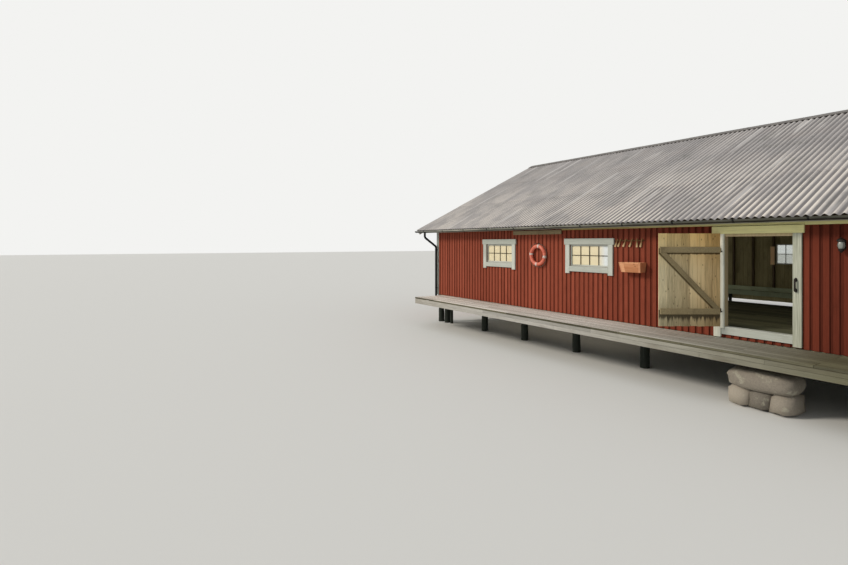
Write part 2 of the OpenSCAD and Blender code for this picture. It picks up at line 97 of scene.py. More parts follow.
def feed(source, socket):
    """Links an output, or a node's first active output, to a socket."""
    if isinstance(source, bpy.types.Node):
        source = next(output for output in source.outputs if output.enabled)
    socket.id_data.links.new(source, socket)


def add(tree, kind, values=None, links=None, **props):
    """One shader node, with its properties, its sockets' values and what feeds them."""
    node = tree.nodes.new("ShaderNode" + kind)
    for name, value in props.items():
        setattr(node, name, value)
    for socket, value in (values or {}).items():
        node.inputs[socket].default_value = value
    for socket, source in (links or {}).items():
        feed(source, node.inputs[socket])
    return node


def shader(material):
    """The sockets of a material's shader."""
    return material.node_tree.nodes["Principled BSDF"].inputs


def surface(name, roughness, colour, metallic=0.0, specular=0.5):
    """A material of one colour and finish."""
    material = bpy.data.materials.new(name)
    material.use_nodes = True
    shader(material)["Base Color"].default_value = linear(colour)
    shader(material)["Roughness"].default_value = roughness
    shader(material)["Metallic"].default_value = metallic
    shader(material)["Specular IOR Level"].default_value = specular
    return material


def studio_light(name, kind, energy, colour):
    """A light of the studio, still to be placed."""
    data = bpy.data.lights.new(name, kind)
    data.energy = energy
    data.color = linear(colour)[:3]
    light = bpy.data.objects.new(name, data)
    bpy.context.scene.collection.objects.link(light)
    return light


bpy.context.scene.world = bpy.data.worlds.new("studio")
bpy.context.scene.world.use_nodes = True
sky = bpy.context.scene.world.node_tree
sky.nodes.clear()
rays = add(sky, "LightPath")
seen = rays.outputs["Is Camera Ray"]
for ray in ("Is Glossy Ray", "Is Transmission Ray"):
    seen = add(sky, "Math", links={0: seen, 1: rays.outputs[ray]}, operation="MAXIMUM")
fill = add(sky, "Background", {"Color": linear("#EEF1F4"), "Strength": 0.62})
backdrop = add(sky, "Background", {"Color": linear("#F3F3F1"), "Strength": 1.0})
both = add(sky, "MixShader", links={0: seen, 1: fill, 2: backdrop})
add(sky, "OutputWorld", links={"Surface": both})

sun = studio_light("sun", "SUN", 1.9, "#FFF6E8")
sun.data.angle = math.radians(14)
sun.rotation_euler = Vector((0.45, 0.75, -0.52)).to_track_quat("-Z", "Y").to_euler()
hall_fill = studio_light("hall_fill", "AREA", 60, "#FFF2D8")
hall_fill.data.shape = "RECTANGLE"
hall_fill.data.size = 13
hall_fill.data.size_y = 1.6
hall_fill.location = at(8, 0.6, 1.6)
hall_fill.rotation_euler = (math.radians(90), 0, 0)
hall_fill.visible_camera = False
hall_fill.visible_glossy = False
hall_fill.visible_transmission = False

floor_mesh = bpy.data.meshes.new("studio_floor")
bm = bmesh.new()
bmesh.ops.create_grid(bm, x_segments=1, y_segments=1, size=160)
bmesh.ops.translate(bm, vec=(0, 0, cad_box[0].z - 0.002), verts=bm.verts)
bm.to_mesh(floor_mesh)
bm.free()
studio_floor = bpy.data.objects.new("studio_floor", floor_mesh)
bpy.context.scene.collection.objects.link(studio_floor)
floor_mesh.materials.append(surface("studio_floor_paint", 0.9, "#DDDDDA"))


# Sawn softwood: bare spruce of the frame, dry and matt, darkened by age. The eye gets long
# streaks along the grain, drawn 12 mm wide so that they show, and a tone that differs by board.
def cloud(tree, place, stretch, detail, rough):
    """A noise by its features per metre, along each axis or one number for all."""
    scale = [stretch] * 3 if isinstance(stretch, float) else stretch
    spot = add(tree, "Mapping", {"Scale": scale}, {"Vector": place})
    return add(tree, "TexNoise", {"Scale": 1.0, "Detail": detail, "Roughness": rough},
               {"Vector": spot})


def coat(material, colour, value, start, end, most=1.0):
    """Lays a colour over a material's own, as far as a value has gone from start to end."""
    share = add(material.node_tree, "MapRange",
                {"From Min": start, "From Max": end, "To Max": most}, {"Value": value})
    socket = shader(material)["Base Color"]
    links = {0: share}
    if socket.links:
        links[6] = socket.links[0].from_socket
    mixed = add(material.node_tree, "Mix", {6: tuple(socket.default_value), 7: linear(colour)},
                links, data_type="RGBA")
    feed(mixed, socket)


def patches(material, place, stretch, span, colour, most=1.0, detail=6.0, rough=0.6):
    """Lays a colour on where a noise passes through a span."""
    coat(material, colour, cloud(material.node_tree, place, stretch, detail, rough), *span, most)


def relief(material, height, strength, depth):
    """Raises a material's surface by a pattern, to a depth in metres."""
    bump = add(material.node_tree, "Bump", {"Strength": strength, "Distance": depth},
               {"Height": height})
    feed(bump, shader(material)["Normal"])


def board_wood(name, dark, light, along, streak=0.012, stain="#3A3226", stains=0.45,
               roughness=0.85, bump=0.35, paint_wear=0.0, worn="#9A8C78"):
    """A wood or painted wood with its grain along one axis and tones by board."""
    material = surface(name, roughness, dark, specular=0.25)
    tree = material.node_tree
    tone = add(tree, "Attribute", attribute_name="tone")
    shift = add(tree, "VectorMath", {1: (37.0, 53.0, 19.0)}, {0: tone.outputs["Vector"]},
                operation="MULTIPLY")
    place = add(tree, "VectorMath", links={0: add(tree, "TexCoord").outputs["Object"], 1: shift},
                operation="ADD")
    per_metre = [1 / streak] * 3
    per_metre["xyz".index(along)] = 1 / (streak * 45)
    grain = cloud(tree, place, per_metre, 5.0, 0.62)
    level = add(tree, "Math", {1: 0.55}, {0: tone.outputs["Fac"], 2: grain},
                operation="MULTIPLY_ADD")
    coat(material, light, level, 0.35, 1.15)
    patches(material, place, 1.3, (0.52, 0.78), stain, stains)
    if paint_wear:
        patches(material, place, [scale * 0.6 for scale in per_metre],
                (0.74 - paint_wear * 0.2, 0.8), worn, detail=4.0, rough=0.7)
    relief(material, grain, bump, 0.004)
    return material


def dress(nodes, material):
    """Gives carried-over CAD nodes one material."""
    for node in nodes:
        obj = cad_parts[node]
        obj.data.materials.clear()
        obj.data.materials.append(material)


sawn = {axis: board_wood("sawn_spruce_" + axis, "#4A3E2E", "#8A7A60", axis)
        for axis in "xyz"}
dress(["wall_plates", "purlins_front", "purlins_back", "ridge_frame"], sawn["x"])
dress(["tie_beams", "rafters_front", "rafters_back", "floor_frame", "deck_frame"], sawn["y"])
dress(["studs_front_left", "studs_front_right", "studs_back", "studs_left_gable",
       "studs_right_gable", "boat_opening_frame"], sawn["z"])


# Piles: round pine driven into the lake bed, near black and dark grey-green, with blacker stains.
# Each tapers a little and wanders from round.
def new_piece(bm, name, material, replaces=(), body="building", smooth=None):
    """A finished mesh from a bmesh: its material, body and the nodes it stands for."""
    bmesh.ops.recalc_face_normals(bm, faces=bm.faces)
    mesh = bpy.data.meshes.new(name)
    bm.to_mesh(mesh)
    bm.free()
    mesh.materials.append(material)
    if smooth is not None:
        mesh.shade_smooth()
        mesh.set_sharp_from_angle(angle=math.radians(smooth))
    piece = bpy.data.objects.new(name, mesh)
    bpy.context.scene.collection.objects.link(piece)
    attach(piece, body)
    if replaces:
        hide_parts(*replaces)
    return piece


def islands(node):
    """The box of each separate solid in a CAD node: lowest and highest corners."""
    bm = bmesh.new()
    bm.from_mesh(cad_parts[node].data)
    bmesh.ops.remove_doubles(bm, verts=bm.verts, dist=1e-5)
    left = set(bm.verts)
    found = []
    while left:
        stack = [left.pop()]
        group = []
        while stack:
            vert = stack.pop()
            group.append(vert.co.copy())
            near = {edge.other_vert(vert) for edge in vert.link_edges} & left
            left -= near
            stack += near
        found.append((Vector([min(c[i] for c in group) for i in range(3)]),
                      Vector([max(c[i] for c in group) for i in range(3)])))
    bm.free()
    return sorted(found, key=lambda pair: tuple(pair[0]))


random.seed(3)
pile_wood = board_wood("tarred_pine", "#141A14", "#4A5046", "z", streak=0.02,
                       stain="#0C100C", stains=0.8, roughness=0.7, bump=0.6)
pile_taper = 0.94
bm = bmesh.new()
for low, high in islands("timber_piles"):
    radius = (high.x - low.x) / 2
    ring = bmesh.ops.create_cone(bm, cap_ends=True, segments=28, radius1=radius,
                                 radius2=radius * pile_taper, depth=high.z - low.z)["verts"]
    sides = {e for v in ring for e in v.link_edges
             if abs(e.verts[0].co.z - e.verts[1].co.z) > 0.1}
    bmesh.ops.subdivide_edges(bm, edges=list(sides), cuts=9, use_grid_fill=True)
    centre = (low + high) / 2
    for vert in [v for v in bm.verts if not v.tag]:
        wander = noise.noise(vert.co * 4 + centre * 3) * 0.006
        vert.co += Vector((vert.co.x, vert.co.y, 0)).normalized() * (wander - 0.004)
        vert.co += centre
        vert.tag = True
new_piece(bm, "driven_piles", pile_wood, ["timber_piles"], smooth=50)


# Stone piers: unmortared field stone under the landward end, stacked in courses that draw in
# towards the top. Each stone is a rounded block with its own tone, wedged to its neighbours.
field_stone = surface("field_stone", 0.88, "#555048")
tree = field_stone.node_tree
stone_place = add(tree, "TexCoord").outputs["Object"]
speck = cloud(tree, stone_place, 38.0, 8.0, 0.7)
stone_tone = add(tree, "Attribute", attribute_name="tone").outputs["Fac"]
stone_level = add(tree, "Math", links={0: speck, 1: stone_tone}, operation="ADD")
coat(field_stone, "#A1988A", stone_level, 0.3, 1.5)
patches(field_stone, stone_place, 5.0, (0.58, 0.66), "#B9B7A2", most=0.4, detail=4.0)
relief(field_stone, speck, 0.6, 0.01)


def toned_mesh():
    """A new mesh whose faces carry a tone, which tells one board or stone from the next."""
    bm = bmesh.new()
    bm.faces.layers.float.new("tone")
    return bm


def shade(bm, verts, tone):
    """Gives the faces round a few vertices their tone."""
    layer = bm.faces.layers.float["tone"]
    for face in {f for v in verts for f in v.link_faces}:
        face[layer] = tone


def lay_stone(bm, middle, size, low, high, rough=0.09):
    """One rounded, uneven block, kept between two levels."""
    stone = bmesh.ops.create_icosphere(bm, subdivisions=3 if size.x > 0.4 else 2, radius=1)["verts"]
    seed = Vector((random.uniform(0, 50), 0, 0))
    tone = random.random()
    for vert in stone:
        block = max(abs(c) for c in vert.co)
        vert.co *= 1 + 0.62 * (1 / block - 1)
        vert.co *= 1 + rough * noise.noise(vert.co * 1.4 + seed)
        vert.co = Vector(a * b for a, b in zip(vert.co, size)) + middle
        vert.co.z = min(max(vert.co.z, low), high)
    shade(bm, stone, tone)


courses = 5
draw_in = 0.26
bm = toned_mesh()
for low, high in islands("stone_piers"):
    centre = (low + high) / 2
    if high.x - low.x > 1:
        half = (high - low) / 2 * 0.98
        lay_stone(bm, Vector((centre.x, centre.y, high.z - 0.19)), Vector((half.x, half.y, 0.2)),
                  low.z, high.z, 0.05)
        for side in (-1, 0, 1):
            lay_stone(bm, Vector((centre.x + side * half.x * 0.6, centre.y, low.z + 0.19)),
                      Vector((half.x * 0.37, half.y * 0.9, 0.24)), low.z, high.z, 0.12)
        continue
    course_h = (high.z - low.z) / courses
    for course in range(courses):
        half = (high.x - low.x) / 2 * (1 - draw_in * (course + 0.5) / courses)
        for i in (-1, 0, 1):
            for j in (-1, 0, 1):
                size = Vector((half / 3 * random.uniform(0.98, 1.12),
                               half / 3 * random.uniform(0.98, 1.12), course_h * 0.53))
                middle = Vector((centre.x + i * half * 0.66, centre.y + j * half * 0.66,
                                 low.z + (course + 0.5) * course_h))
                lay_stone(bm, middle, size, low.z, high.z)
new_piece(bm, "pier_stones", field_stone, ["stone_piers"], smooth=80)


# Landing deck: spruce planks bleached silver grey, laid lengthwise in eight rows. Each row is
# made up of shorter planks whose butt joints fall on joists, nailed twice at every joist.
def block(bm, corner, tone=None):
    """One board from a cube: corner(x, y, z) places each corner, counted from 0 to 1."""
    made = bmesh.ops.create_cube(bm, size=1)["verts"]
    for vert in made:
        vert.co = corner(*(round(c + 0.5) for c in vert.co))
    shade(bm, made, random.random() if tone is None else tone)


def plank(bm, place, u, v, w, tone=None, top=None):
    """One board in a plane's own axes: u along it, v up it, w into it; top(u) cuts it aslant."""
    block(bm, lambda x, y, z: place(u[x], top(u[x]) if top and z else v[z], w[y]), tone)


def on_deck(u, v, w):
    """A place on the deck: u along it, v above it, w from the wall's face inwards."""
    return at(u, w, v)


def fade_along(material, start, end, near, far, axis="X", attribute=None):
    """Tints a material from near's colour at start to far's at end, in metres along an axis."""
    tree = material.node_tree
    socket = shader(material)["Base Color"]
    if attribute:
        place = add(tree, "Attribute", attribute_name=attribute).outputs["Vector"]
    else:
        place = add(tree, "TexCoord").outputs["Object"]
    place = add(tree, "SeparateXYZ", links={0: place})
    share = add(tree, "MapRange", {"From Min": start, "From Max": end},
                {"Value": place.outputs[axis]})
    tint = add(tree, "Mix", {6: linear(near), 7: linear(far)}, {0: share}, data_type="RGBA")
    tinted = add(tree, "Mix", {0: 1.0}, {6: socket.links[0].from_socket, 7: tint},
                 data_type="RGBA", blend_type="MULTIPLY")
    feed(tinted, socket)


def soften(bm, width):
    """Takes the sharp arris off every board in a mesh, keeping each board's tone."""
    edges = [e for e in bm.edges if len(e.link_faces) == 2 and e.calc_face_angle(0) > 0.5]
    bmesh.ops.bevel(bm, geom=edges, offset=width, segments=1, affect="EDGES",
                    clamp_overlap=True)


def boards(name, material, arris, place, rows, replaces=()):
    """A piece made of planks in one plane: each row is a plank's u, v, w and, if set, tone."""
    bm = toned_mesh()
    for row in rows:
        plank(bm, place, *row)
    soften(bm, arris)
    new_piece(bm, name, material, replaces)


def nail_heads(bm, spots, radius, out):
    """Small round nail heads that stand out by a hair along z."""
    for spot in spots:
        bmesh.ops.create_cone(bm, cap_ends=True, segments=7, radius1=radius,
                              radius2=radius * 0.8, depth=out, matrix=Matrix.Translation(spot))


nail_iron = surface("rusted_nail_iron", 0.7, "#3B2A20")
deck_wood = board_wood("bleached_spruce", "#AFAAA0", "#FFFCF6", "x", streak=0.010,
                       stain="#A69E90", stains=0.45, roughness=0.82, bump=0.5)
fade_along(deck_wood, -7.0, -2.0, "#FAF7F3", "#FFFFFF")
# Darker and greener towards the land end: painted shade of the trees there, the green partly moss.
fade_along(deck_wood, 0.3, 5.4, "#FFFFFF", "#6E6C55")
# A dark material for the planks' faces towards the lake: painted shadow along the deck's front edge.
plank_nose_shade = board_wood("plank_nose_painted_shadow", "#3A382B", "#6E6B57", "x", streak=0.010,
                        stain="#2E2E22", stains=0.6, roughness=0.9, bump=0.5)
wall_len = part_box("back_wall")[1].x - wall_lo.x
deck_lo, deck_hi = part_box("deck_planks")
deck_start = deck_lo.x - wall_lo.x
deck_end = deck_hi.x - wall_lo.x
deck_out = deck_lo.y - wall_lo.y
plank_rows = 8
row_step = 0.167
plank_w = 0.159
plank_t = 0.045
joists = [deck_start + i * (wall_len - deck_start - 0.06) / 12 + 0.03 for i in range(13)]
end_gap = 0.002
nail_edge = (0.035, 0.125)
bm = toned_mesh()
heads = bmesh.new()
for row in range(plank_rows):
    d0 = deck_out + row * row_step
    cuts = [deck_start] + [joists[i] for i in range(1 + row % 3, 12, 3 + (row % 2))] + [deck_end]
    for start, end in zip(cuts, cuts[1:]):
        rise = random.uniform(-0.003, 0.0)
        squeeze = random.uniform(0.0, 0.004)
        plank(bm, on_deck, (start + end_gap, end - end_gap), (-plank_t, rise),
              (d0 + squeeze, d0 + plank_w - squeeze * 0.5))
    spots = [at(s + random.uniform(-0.01, 0.01), d0 + side + random.uniform(-0.006, 0.006), -0.0005)
             for s in joists for side in nail_edge]
    nail_heads(heads, spots, 0.005, 0.002)
soften(bm, 0.003)
bmesh.ops.recalc_face_normals(bm, faces=bm.faces)
# Faces turned towards the lake take the dark material, as painted shadow under the deck's nose.
for face in bm.faces:
    face.material_index = 1 if face.normal.y < -0.5 else 0
deck = new_piece(bm, "deck_boards", deck_wood, ["deck_planks"])
deck.data.materials.append(plank_nose_shade)
new_piece(heads, "deck_nails", nail_iron)


# Deck edge: a spruce plank on edge under the outer row of the deck and a thinner one below it,
# in lengths nailed to the joist ends, grey, and darker and greener towards the land: painted shade,
# partly moss.
edge_wood = board_wood("bleached_edge_spruce", "#8A8882", "#DAD7D0", "x", streak=0.010,
                       stain="#7A6F62", stains=0.5, roughness=0.82, bump=0.5)
# Darker and greener towards the land end: painted shade of the trees there, the green partly moss.
fade_along(edge_wood, -1.0, 6.5, "#FFFFFF", "#8B8A6A")
fade_along(edge_wood, -8.0, -3.0, "#EDEAE4", "#FFFFFF")
bm = toned_mesh()
for v0, v1, w0, joins in ((-0.136, -0.054, 0.009, (0.0, 4.1, 8.3, 12.2, 15.575)),
                          (-0.24, -0.139, 0.012, (0.0, 3.0, 7.1, 11.0, 15.575))):
    for a, b in zip(joins, joins[1:]):
        plank(bm, on_deck, (deck_start + a + 0.001, min(deck_start + b - 0.001, deck_end)),
              (v0 + random.uniform(0, 0.002), v1), (deck_out + w0, deck_out + 0.028))
soften(bm, 0.003)
new_piece(bm, "deck_edge", edge_wood, ["deck_edge_board"])


# Hall floor: wide worn spruce boards along the hall's landward part, nailed to the floor joists,
# green-grey, darker than the deck and swept clean.
# Its dark colours are partly the boards' own and partly painted shade inside the hall.
floor_wood = board_wood("worn_floor_spruce", "#383A2E", "#6E7058", "x", streak=0.012,
                        stain="#3B342B", stains=0.5, roughness=0.78, bump=0.3)
floor_lo, floor_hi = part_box("floor_boards")
floor_rows = 36
floor_step = (floor_hi.y - floor_lo.y) / floor_rows
bm = toned_mesh()
for row in range(floor_rows):
    d0 = floor_lo.y + row * floor_step
    cuts = [floor_lo.x] + [floor_lo.x + 0.9 * i + 0.03 for i in range(2 + row % 4, 9, 4)] + [floor_hi.x]
    for start, end in zip(cuts, cuts[1:]):
        plank(bm, lambda u, v, w: Vector((u, w, v)), (start + 0.001, end - 0.001),
              (floor_lo.z, floor_hi.z - random.uniform(0, 0.002)),
              (d0 + 0.002, d0 + floor_step - 0.001))
new_piece(bm, "hall_floor", floor_wood, ["floor_boards"])


# Wall cladding: upright boards in two layers, outer boards of 100 mm over the gaps between
# recessed ones, brushed with matt red earth paint that has chalked and worn off the edges.
red_paint = board_wood("red_earth_paint", "#632A19", "#A3543F", "z", streak=0.007,
                       stain="#54230F", stains=0.35, roughness=0.92, bump=0.7,
                       paint_wear=0.28, worn="#A36E56")
# Darker towards the land end: painted shade of the trees there.
fade_along(red_paint, -1.0, 6.0, "#FFFCF8", "#B29E90")
# Lighter than bare spruce: painted light for the dim hall.
bare_side = board_wood("unpainted_spruce", "#7E7656", "#C6BE90", "z", streak=0.012,
                       stain="#3B3522", stains=0.5, roughness=0.88, bump=0.35)
board_step = 0.16
outer_w = 0.100
layer_t = 0.022
skin_t = 0.045
skin_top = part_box("front_wall_left")[1].z - wall_lo.z
skirt = wall_lo.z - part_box("back_wall")[0].z
hall_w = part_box("back_wall")[1].y - wall_lo.y


def clear_runs(u0, u1, low, high, holes):
    """The upright stretches that a board between u0 and u1 keeps beside a wall's openings."""
    cuts = sorted({u0, u1} | {u for hole in holes for u in hole[:2] if u0 < u < u1})
    for a, b in zip(cuts, cuts[1:]):
        if b - a < 0.004:
            continue
        middle = (a + b) / 2
        bottom = low
        over = [hole[2:] for hole in holes if hole[0] < middle < hole[1]]
        for v0, v1 in sorted(over):
            if v0 > bottom:
                yield a, b, bottom, v0
            bottom = v1
        yield a, b, bottom, high


def clad(name, place, u_from, u_to, low, holes, replaces, top=None):
    """A boarded wall: recessed boards, outer boards over their joints, bare on the inside."""
    bm = toned_mesh()
    n = round((u_to - u_from) / board_step)
    step = (u_to - u_from) / n
    for inner in (0, 1):
        for i in range(n + 1 - inner):
            joint = u_from + i * step
            if inner:
                a, b = joint + 0.001, joint + step - 0.001
            else:
                a = max(u_from, joint - outer_w / 2 + random.uniform(-0.004, 0.004))
                b = min(u_to, joint + outer_w / 2 + random.uniform(-0.004, 0.004))
            tone = random.random()
            # Recessed boards take only the lowest tones: painted shade between the outer boards.
            tone = 0.22 * tone if inner else 0.45 + 0.55 * tone
            drop = random.uniform(0, 0.008)
            for c, d, v0, v1 in clear_runs(a, b, low, skin_top, holes):
                w = (inner * layer_t + random.uniform(0, 0.002), skin_t if inner else layer_t)
                plank(bm, place, (c, d), (v0 + drop if v0 == low else v0, v1), w, tone,
                      top=top if v1 == skin_top else None)
    bm.normal_update()
    soften(bm, 0.002)
    bmesh.ops.recalc_face_normals(bm, faces=bm.faces)
    inward = place(0, 0, 1) - place(0, 0, 0)
    for face in bm.faces:
        face.material_index = 1 if face.normal.dot(inward) > 0.7 else 0
    new_piece(bm, name, red_paint, replaces).data.materials.append(bare_side)


# Places on the four walls: u along the wall, v above the deck, w inwards from the boards' face.
def front(u, v, w):
    return at(u, w, v)


def back(u, v, w):
    return at(u, hall_w - w, v)


def lake_end(u, v, w):
    return at(w, u, v)


def land_end(u, v, w):
    return at(wall_len - w, u, v)


win_w = 1.33
win_top = 2.055
front_sill = 1.43
back_sill = 1.20
front_wins = [3.82, 7.6]
back_wins = [3.85, 7.885, 11.9]
gable_win = 3.7
door_s = 11.28
door_w = 1.306
door_end = door_s + door_w
door_sill = 0.249
door_head = 2.242
door_top = 2.302
jamb_t = 0.03
roof_slope = math.radians(25.8)
eave_out = 0.42
eave_h = 2.594
purlin_t = 0.05


def window_holes(centres, sill):
    """The openings of a row of windows, as left, right, bottom and top."""
    return [(c - win_w / 2, c + win_w / 2, sill, win_top) for c in centres]


def gable_top(u):
    """Top of the gable boards, under the purlins."""
    rise = (min(u, hall_w - u) + eave_out) * math.tan(roof_slope)
    return eave_h + rise - purlin_t / math.cos(roof_slope)


clad("front_cladding", front, 0.0, wall_len, 0.0,
     window_holes(front_wins, front_sill) + [(door_s - jamb_t, door_end + jamb_t,
                                              door_sill - jamb_t, door_top)],
     ["front_wall_left", "front_wall_door_bay", "front_wall_right"])
clad("back_cladding", back, 0.0, wall_len, -skirt, window_holes(back_wins, back_sill),
     ["back_wall"])
clad("lake_gable_cladding", lake_end, skin_t, hall_w - skin_t, -skirt,
     [(6.4, 11.4, -skirt - 1, 2.35)], ["left_gable"], top=gable_top)
clad("land_gable_cladding", land_end, skin_t, hall_w - skin_t, -skirt,
     window_holes([gable_win], back_sill), ["right_gable"], top=gable_top)


# Base boards: a limewashed plank band inside the back wall, over the sill beams limewashed with
# it, and a pine board nailed beside each back window, its bright colour painted sunlight.
limewash = board_wood("limewashed_spruce", "#8E9A80", "#B5BF9E", "x")
dress(["sill_beams"], limewash)
on_studs = (skin_t + 0.1, skin_t + 0.122)
band_len = 3.12
boards("back_base_boards", limewash, 0.002, back,
       [((0.2 + a * band_len, 0.2 + (a + 1) * band_len - 0.003), (0.02, 0.2), on_studs)
        for a in range(5)])
# Bright pine colour: painted sunlight on the inside of each back window.
pine_painted_sunlit = board_wood("pine_painted_sunlit", "#E0B486", "#FFDDB0", "z", streak=0.012,
                        stain="#C79A68", stains=0.3, roughness=0.7, bump=0.2)
boards("back_window_boards", pine_painted_sunlit, 0.002, back,
       [((c - win_w / 2 - 0.175, c - win_w / 2 - 0.02), (1.18, 1.95), on_studs, 0.8)
        for c in back_wins])


# Corner boards and frieze boards: planed spruce in worn pale paint at the corners and cream paint
# under the eaves, grey where it has weathered off, butt-jointed and nailed over the red boards.
pale_paint = {axis: board_wood("worn_pale_paint_" + axis, "#A0A59C", "#CED2CA", axis, streak=0.010,
                               stain="#8C8A7C", stains=0.55, roughness=0.75, bump=0.35,
                               paint_wear=0.3, worn="#8F8878")
              for axis in "xz"}
# The cream is raised bright and yellow: painted light bouncing under the eaves.
cream_paint = board_wood("cream_paint", "#CCC684", "#FFFAB8", "x", streak=0.010,
                         stain="#A29B6C", stains=0.35, roughness=0.75, bump=0.4,
                         paint_wear=0.2, worn="#A89C6C")
# Darker and pinker towards the lake end: painted shade.
fade_along(cream_paint, 0.5, 2.6, "#D2C2B6", "#FFFFFF")
corner_w = 0.14
bm = toned_mesh()
for s in (0.0, wall_len - corner_w):
    for place, low in ((front, 0.0), (back, -skirt)):
        plank(bm, place, (s, s + corner_w), (low, skin_top), (-0.026, 0.0))
soften(bm, 0.003)
new_piece(bm, "corner_boards", pale_paint["z"], ["white_trim"])
last = wall_len - corner_w
bm = toned_mesh()
for place, a, b, low in ((back, corner_w, 4.3, 2.472), (back, 4.3, 8.0, 2.472),
                         (back, 8.0, 12.0, 2.472), (back, 12.0, last, 2.472),
                         (front, 6.622, 8.9, 2.481), (front, 8.9, door_s - 0.257, 2.481),
                         (front, door_s - 0.257, door_end + 0.195, 2.471),
                         (front, door_end + 0.195, last, 2.459)):
    plank(bm, place, (a + 0.001, b - 0.001), (low, skin_top), (-0.024, 0.0))
soften(bm, 0.003)
new_piece(bm, "frieze_boards", cream_paint)


# Roof: grey corrugated fibre-cement sheets in three lapped courses a side. Lichen and dirt run
# down the slope in streaks; crests are paler and troughs darker, partly weathering and partly
# painted sunlight on the crests and painted shade in the troughs; each sheet a little apart.
fibre_cement = surface("fibre_cement", 0.9, "#6B696A", specular=0.2)
tree = fibre_cement.node_tree
sheet_tone = add(tree, "Attribute", attribute_name="tone").outputs["Fac"]
crest = add(tree, "Attribute", attribute_name="crest").outputs["Fac"]
slope_place = add(tree, "Attribute", attribute_name="slope_place").outputs["Vector"]
runs = cloud(tree, slope_place, (9.0, 0.42, 1.0), 6.0, 0.6)
grit = cloud(tree, slope_place, 70.0, 6.0, 0.7)
# The crests lift the level: partly weathering, partly painted sunlight.
level = add(tree, "Math", {1: 0.30}, {0: crest}, operation="MULTIPLY")
for part, pattern in ((0.55, runs), (0.07, sheet_tone), (0.22, grit)):
    level = add(tree, "Math", {1: part}, {0: pattern, 2: level}, operation="MULTIPLY_ADD")
coat(fibre_cement, "#BFBBBA", level, 0.30, 0.86)
blotches = (1.4, 1.1, 1.0)
patches(fibre_cement, slope_place, blotches, (0.5, 0.72), "#9C928E", 0.3, 7.0, 0.65)
patches(fibre_cement, slope_place, blotches, (0.44, 0.3), "#6C6E66", 0.4, 7.0, 0.65)
patches(fibre_cement, slope_place, (3.9, 0.2, 1.0), (0.6, 0.65), "#D6D3D1", 0.75, 3.0, 0.5)
up_slope = add(tree, "SeparateXYZ", links={0: slope_place}).outputs["Y"]
washed = add(tree, "MapRange", {"From Min": 0.5, "From Max": 5.0, "To Min": 0.95, "To Max": 0.25},
             {"Value": up_slope})
bare = add(tree, "MapRange", {"From Min": 0.42, "From Max": 0.56, "To Min": 0.3},
           {"Value": cloud(tree, slope_place, (0.9, 0.5, 1.0), 4.0, 0.6)})
# Pale crests: partly bleaching and lichen, partly painted sunlight on the crests.
crest_light_and_bleach = add(tree, "MapRange", {"From Min": 0.66, "From Max": 0.98}, {"Value": crest})
for share in (washed, bare):
    crest_light_and_bleach = add(tree, "Math", links={0: crest_light_and_bleach, 1: share}, operation="MULTIPLY")
coat(fibre_cement, "#E9E1D8", crest_light_and_bleach, 0.0, 1.0)
# Darker troughs: partly dirt, partly painted shade.
coat(fibre_cement, "#6F6B67", crest, 0.32, 0.0, 0.4)
relief(fibre_cement, grit, 0.25, 0.003)

gable_out = 0.9
slope_len = (hall_w / 2 + eave_out) / math.cos(roof_slope)
roof_len = wall_len + 2 * gable_out
waves = round(roof_len / 0.146)
wave_len = roof_len / waves
wave_depth = 0.048
sheet_t = 0.0065
per_wave = 12
sheet_waves = 7
course_ends = [0.0, 2.47, 4.94, slope_len - 0.03]
lap = 0.15


def on_slope(x, y, z, behind=False):
    """A place on a roof plane: x along the eave, y up the slope, z square to it."""
    d = -eave_out + y * math.cos(roof_slope) - z * math.sin(roof_slope)
    h = eave_h + y * math.sin(roof_slope) + z * math.cos(roof_slope)
    return at(x - gable_out, hall_w - d if behind else d, h)


def lay_sheet(bm, course, first, last):
    """One sheet, from its first wave to its last, still flat on the slope's own axes."""
    low = course_ends[course]
    top = course_ends[course + 1] + (lap if course < 2 else 0)
    made = bmesh.ops.create_grid(bm, x_segments=(last - first) * per_wave, y_segments=3,
                                 size=0.5)["verts"]
    shade(bm, made, random.random())
    slip = random.uniform(-0.004, 0.004) if course else random.uniform(0, 0.006)
    tilt = random.uniform(0.0, 0.002)
    lifted = 0.0075 if course else 0.0005
    for vert in made:
        x = (first + (vert.co.x + 0.5) * (last - first)) * wave_len
        share = vert.co.y + 0.5
        y = low + slip + share * (top - low - slip)
        z = wave_depth / 2 * (1 + math.cos(math.radians(30) + math.tau * x / wave_len))
        z += lifted * (1 - share) + tilt + 0.0015 * noise.noise(Vector((x * 2, y * 2, course)))
        vert.co = Vector((x, y, z))


for behind, name, node in ((False, "front_sheets", "roof_front"), (True, "back_sheets", "roof_back")):
    bm = toned_mesh()
    for course in range(3):
        for first in range(0, waves, sheet_waves):
            lay_sheet(bm, course, first, min(first + sheet_waves, waves))
    bmesh.ops.solidify(bm, geom=bm.faces[:], thickness=-sheet_t)
    crest_layer = bm.verts.layers.float.new("crest")
    place_layer = bm.verts.layers.float_vector.new("slope_place")
    for vert in bm.verts:
        x, y, z = vert.co
        vert[crest_layer] = min(max(z / wave_depth, 0), 1)
        vert[place_layer] = (x + (40 if behind else 0), y, z)
        vert.co = on_slope(x, y, z, behind)
    new_piece(bm, name, fibre_cement, [node], smooth=40)


# Ridge cap: dark sheet metal bent over the ridge, in two-metre lengths lapped end to end, with
# a folded edge down each wing. Its dull coat shows as a drift between two greys.
def mottled(name, dark, light, stretch, span, roughness, most=1.0, detail=7.0, rough=0.65, **plain):
    """A material that drifts from a dark colour to a light one; stretch is per metre."""
    material = surface(name, roughness, dark, **plain)
    place = add(material.node_tree, "TexCoord").outputs["Object"]
    patches(material, place, stretch, span, light, most, detail, rough)
    return material


